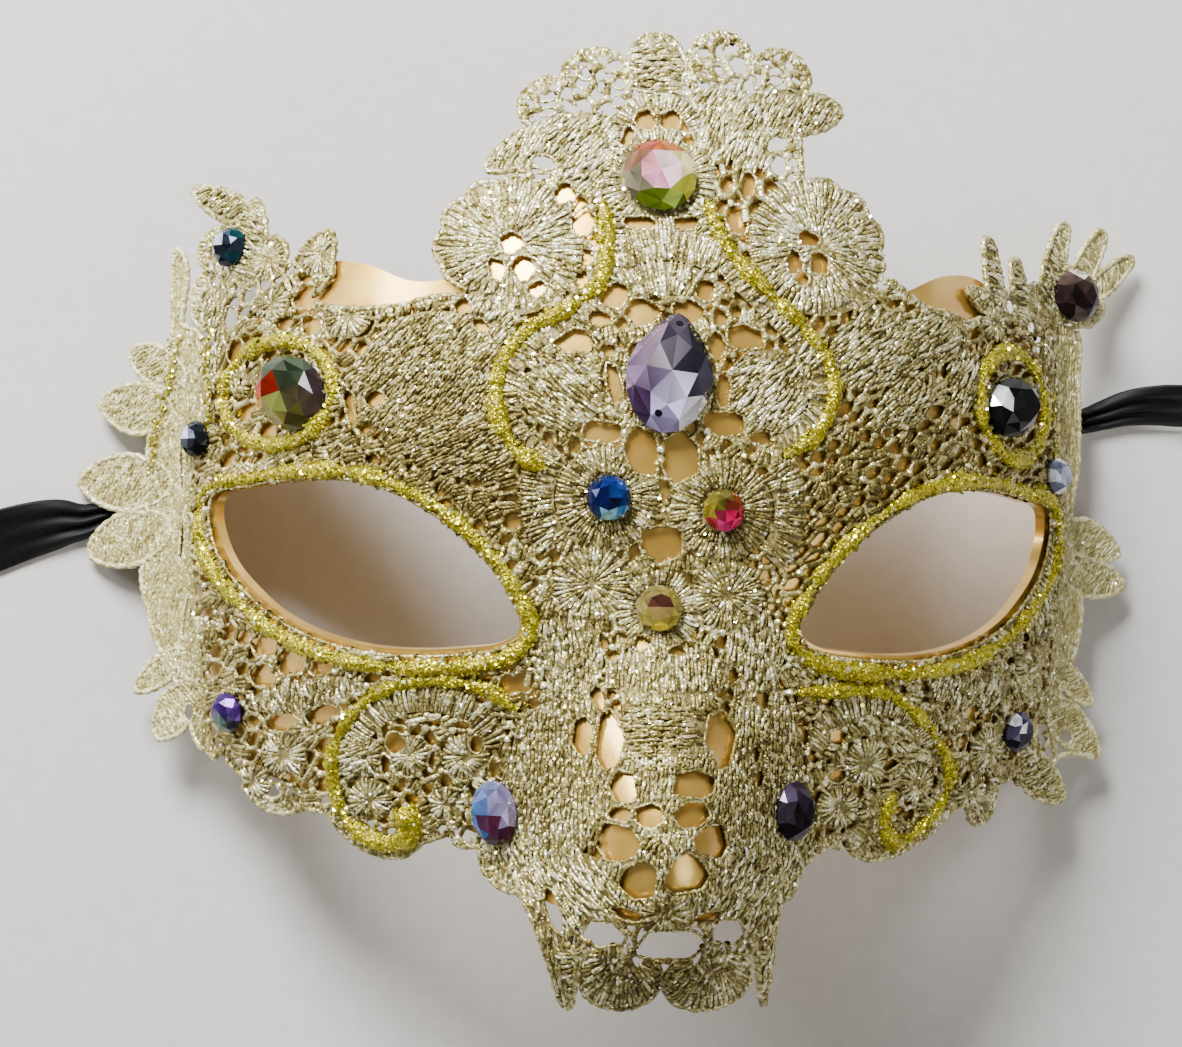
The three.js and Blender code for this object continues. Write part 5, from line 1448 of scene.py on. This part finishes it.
# ribbon ties: gathered where they leave the lace, then opening out and settling on the table
# columns: out from the middle, height, plan y, gathered share of the width, tilt in degrees
ribbonSet = {"width": 10, "thick": 0.3, "segments": 12, "narrowest": 0.34, "lowest": 0.5, "left": [
    (71.6, 8, 13.5, 0.36, 0), (73.3, 4.4, 13.4, 0.36, 0), (75, 1.9, 13.2, 0.36, 0),
    (77.5, 0.7, 12.9, 0.36, 0), (80.5, 0.5, 12.5, 0.36, 0), (83, 0.5, 12.2, 0.38, 0),
    (87.6, 0.5, 11, 0.55, 8), (92.7, 0.5, 10.3, 0.85, 20), (97.7, 0.5, 8.9, 0.97, 24),
    (104, 0.5, 6.6, 1, 20), (112, 0.5, 4.2, 1, 11), (124, 0.5, 1, 1, 5), (136, 0.5, -1.8, 1, 2),
], "right": [
    (71.6, 8, 28.8, 0.36, 0), (73.3, 4.4, 29.2, 0.36, 0), (75, 1.9, 29.8, 0.36, 2),
    (77.5, 0.7, 30.6, 0.42, 10), (79.6, 0.5, 31.3, 0.5, 20), (83.5, 0.5, 32.5, 0.66, 32),
    (88.6, 0.5, 33, 0.86, 44), (92.9, 0.5, 32.9, 0.98, 50), (99, 0.5, 33.2, 1, 45),
    (108, 0.5, 34.4, 1, 28), (120, 0.5, 36.4, 1, 10), (136, 0.5, 38, 1, 2),
]}


def ribbon(side):
    hand = -1 if side == "left" else 1
    out, height, y, gather, tilt = openLine(ribbonSet[side], 1.0).T
    wide = ribbonSet["width"] * np.clip(gather, ribbonSet["narrowest"], 1)
    tilt = np.radians(np.maximum(tilt, 0))
    height = np.maximum(height, ribbonSet["lowest"]) + 0.5 * wide * np.sin(tilt)
    middle = np.stack([hand * out, y, height], -1)
    along = unit(np.gradient(middle, axis=0))
    across = unit(np.cross([0, 0, 1.0], along))
    up = np.cross(along, across)
    lean = (tilt * hand)[:, None]
    across, up = across * np.cos(lean) + up * np.sin(lean), up * np.cos(lean) - across * np.sin(lean)
    stations = ribbonSet["segments"] + 1
    share = np.linspace(-0.5, 0.5, stations)
    pleat = np.abs((np.arange(stations) + 2) % 4 - 2.0)  # folds that take up the gathered width
    bm = bmesh.new()
    layer = bm.loops.layers.uv.new("weave")
    rows = []
    for k, spot in enumerate(middle):
        rise = math.sqrt(max(0, ribbonSet["width"] ** 2 - wide[k] ** 2)) / ribbonSet["segments"]
        points = spot + np.outer(share * wide[k], across[k]) + np.outer(pleat * rise, up[k])
        rows.append([bm.verts.new(p * mm + planShift) for p in points])
    for k in range(len(rows) - 1):
        for i in range(stations - 1):
            ring = [(k, i), (k, i + 1), (k + 1, i + 1), (k + 1, i)]
            face = bm.faces.new([rows[a][b] for a, b in ring])
            for loop, (a, b) in zip(face.loops, ring):
                loop[layer].uv = (share[b] * ribbonSet["width"], a)
    bmesh.ops.recalc_face_normals(bm, faces=bm.faces[:])
    if sum(f.normal.z for f in bm.faces) < 0:
        bmesh.ops.reverse_faces(bm, faces=bm.faces[:])
    data = meshOf(bm, "ribbon_" + side + "_tie")
    data.shade_smooth()
    piece = addObject(data, ribbonSatin, "ribbon_" + side, "ribbon")
    soft = piece.modifiers.new("soft_folds", "SUBSURF")
    soft.levels = soft.render_levels = 1
    body = piece.modifiers.new("thickness", "SOLIDIFY")
    body.thickness = ribbonSet["thick"] * mm
    body.offset = 0


ribbon("left")
ribbon("right")
print("ribbons laid")

# floor and soft studio light
floorSet = {"half": 4, "drop": 0.0002}
bm = bmesh.new()
bmesh.ops.create_grid(bm, x_segments=2, y_segments=2, size=floorSet["half"])
bmesh.ops.translate(bm, verts=bm.verts[:], vec=(0, 0, -floorSet["drop"]))
data = meshOf(bm, "floor")
data.materials.append(paleCard)
floor = bpy.data.objects.new("floor", data)
scene.collection.objects.link(floor)

# name, place in metres, size, power
lightTable = [
    ("key", (-0.24, 0.46, 0.44), 0.30, 13.5),
    ("window", (-0.68, 0.34, 0.24), 0.22, 3.6),
    ("fill", (0.55, -0.35, 0.60), 0.60, 2.5),
]
lampAim = Vector((0, 0, 0.04))
skySet = {"Color": linear("#c4c1ba"), "Strength": 0.4}
for name, spot, size, power in lightTable:
    lamp = bpy.data.lights.new(name, "AREA")
    lamp.shape = "DISK"
    lamp.size = size
    lamp.energy = power
    thing = bpy.data.objects.new(name, lamp)
    thing.location = spot
    thing.rotation_euler = (lampAim - Vector(spot)).to_track_quat("-Z", "Y").to_euler()
    scene.collection.objects.link(thing)
world = bpy.data.worlds.new("studio")
world.use_nodes = True
setShader(world.node_tree.nodes["Background"], skySet, {})
scene.world = world
print("floor and light set")
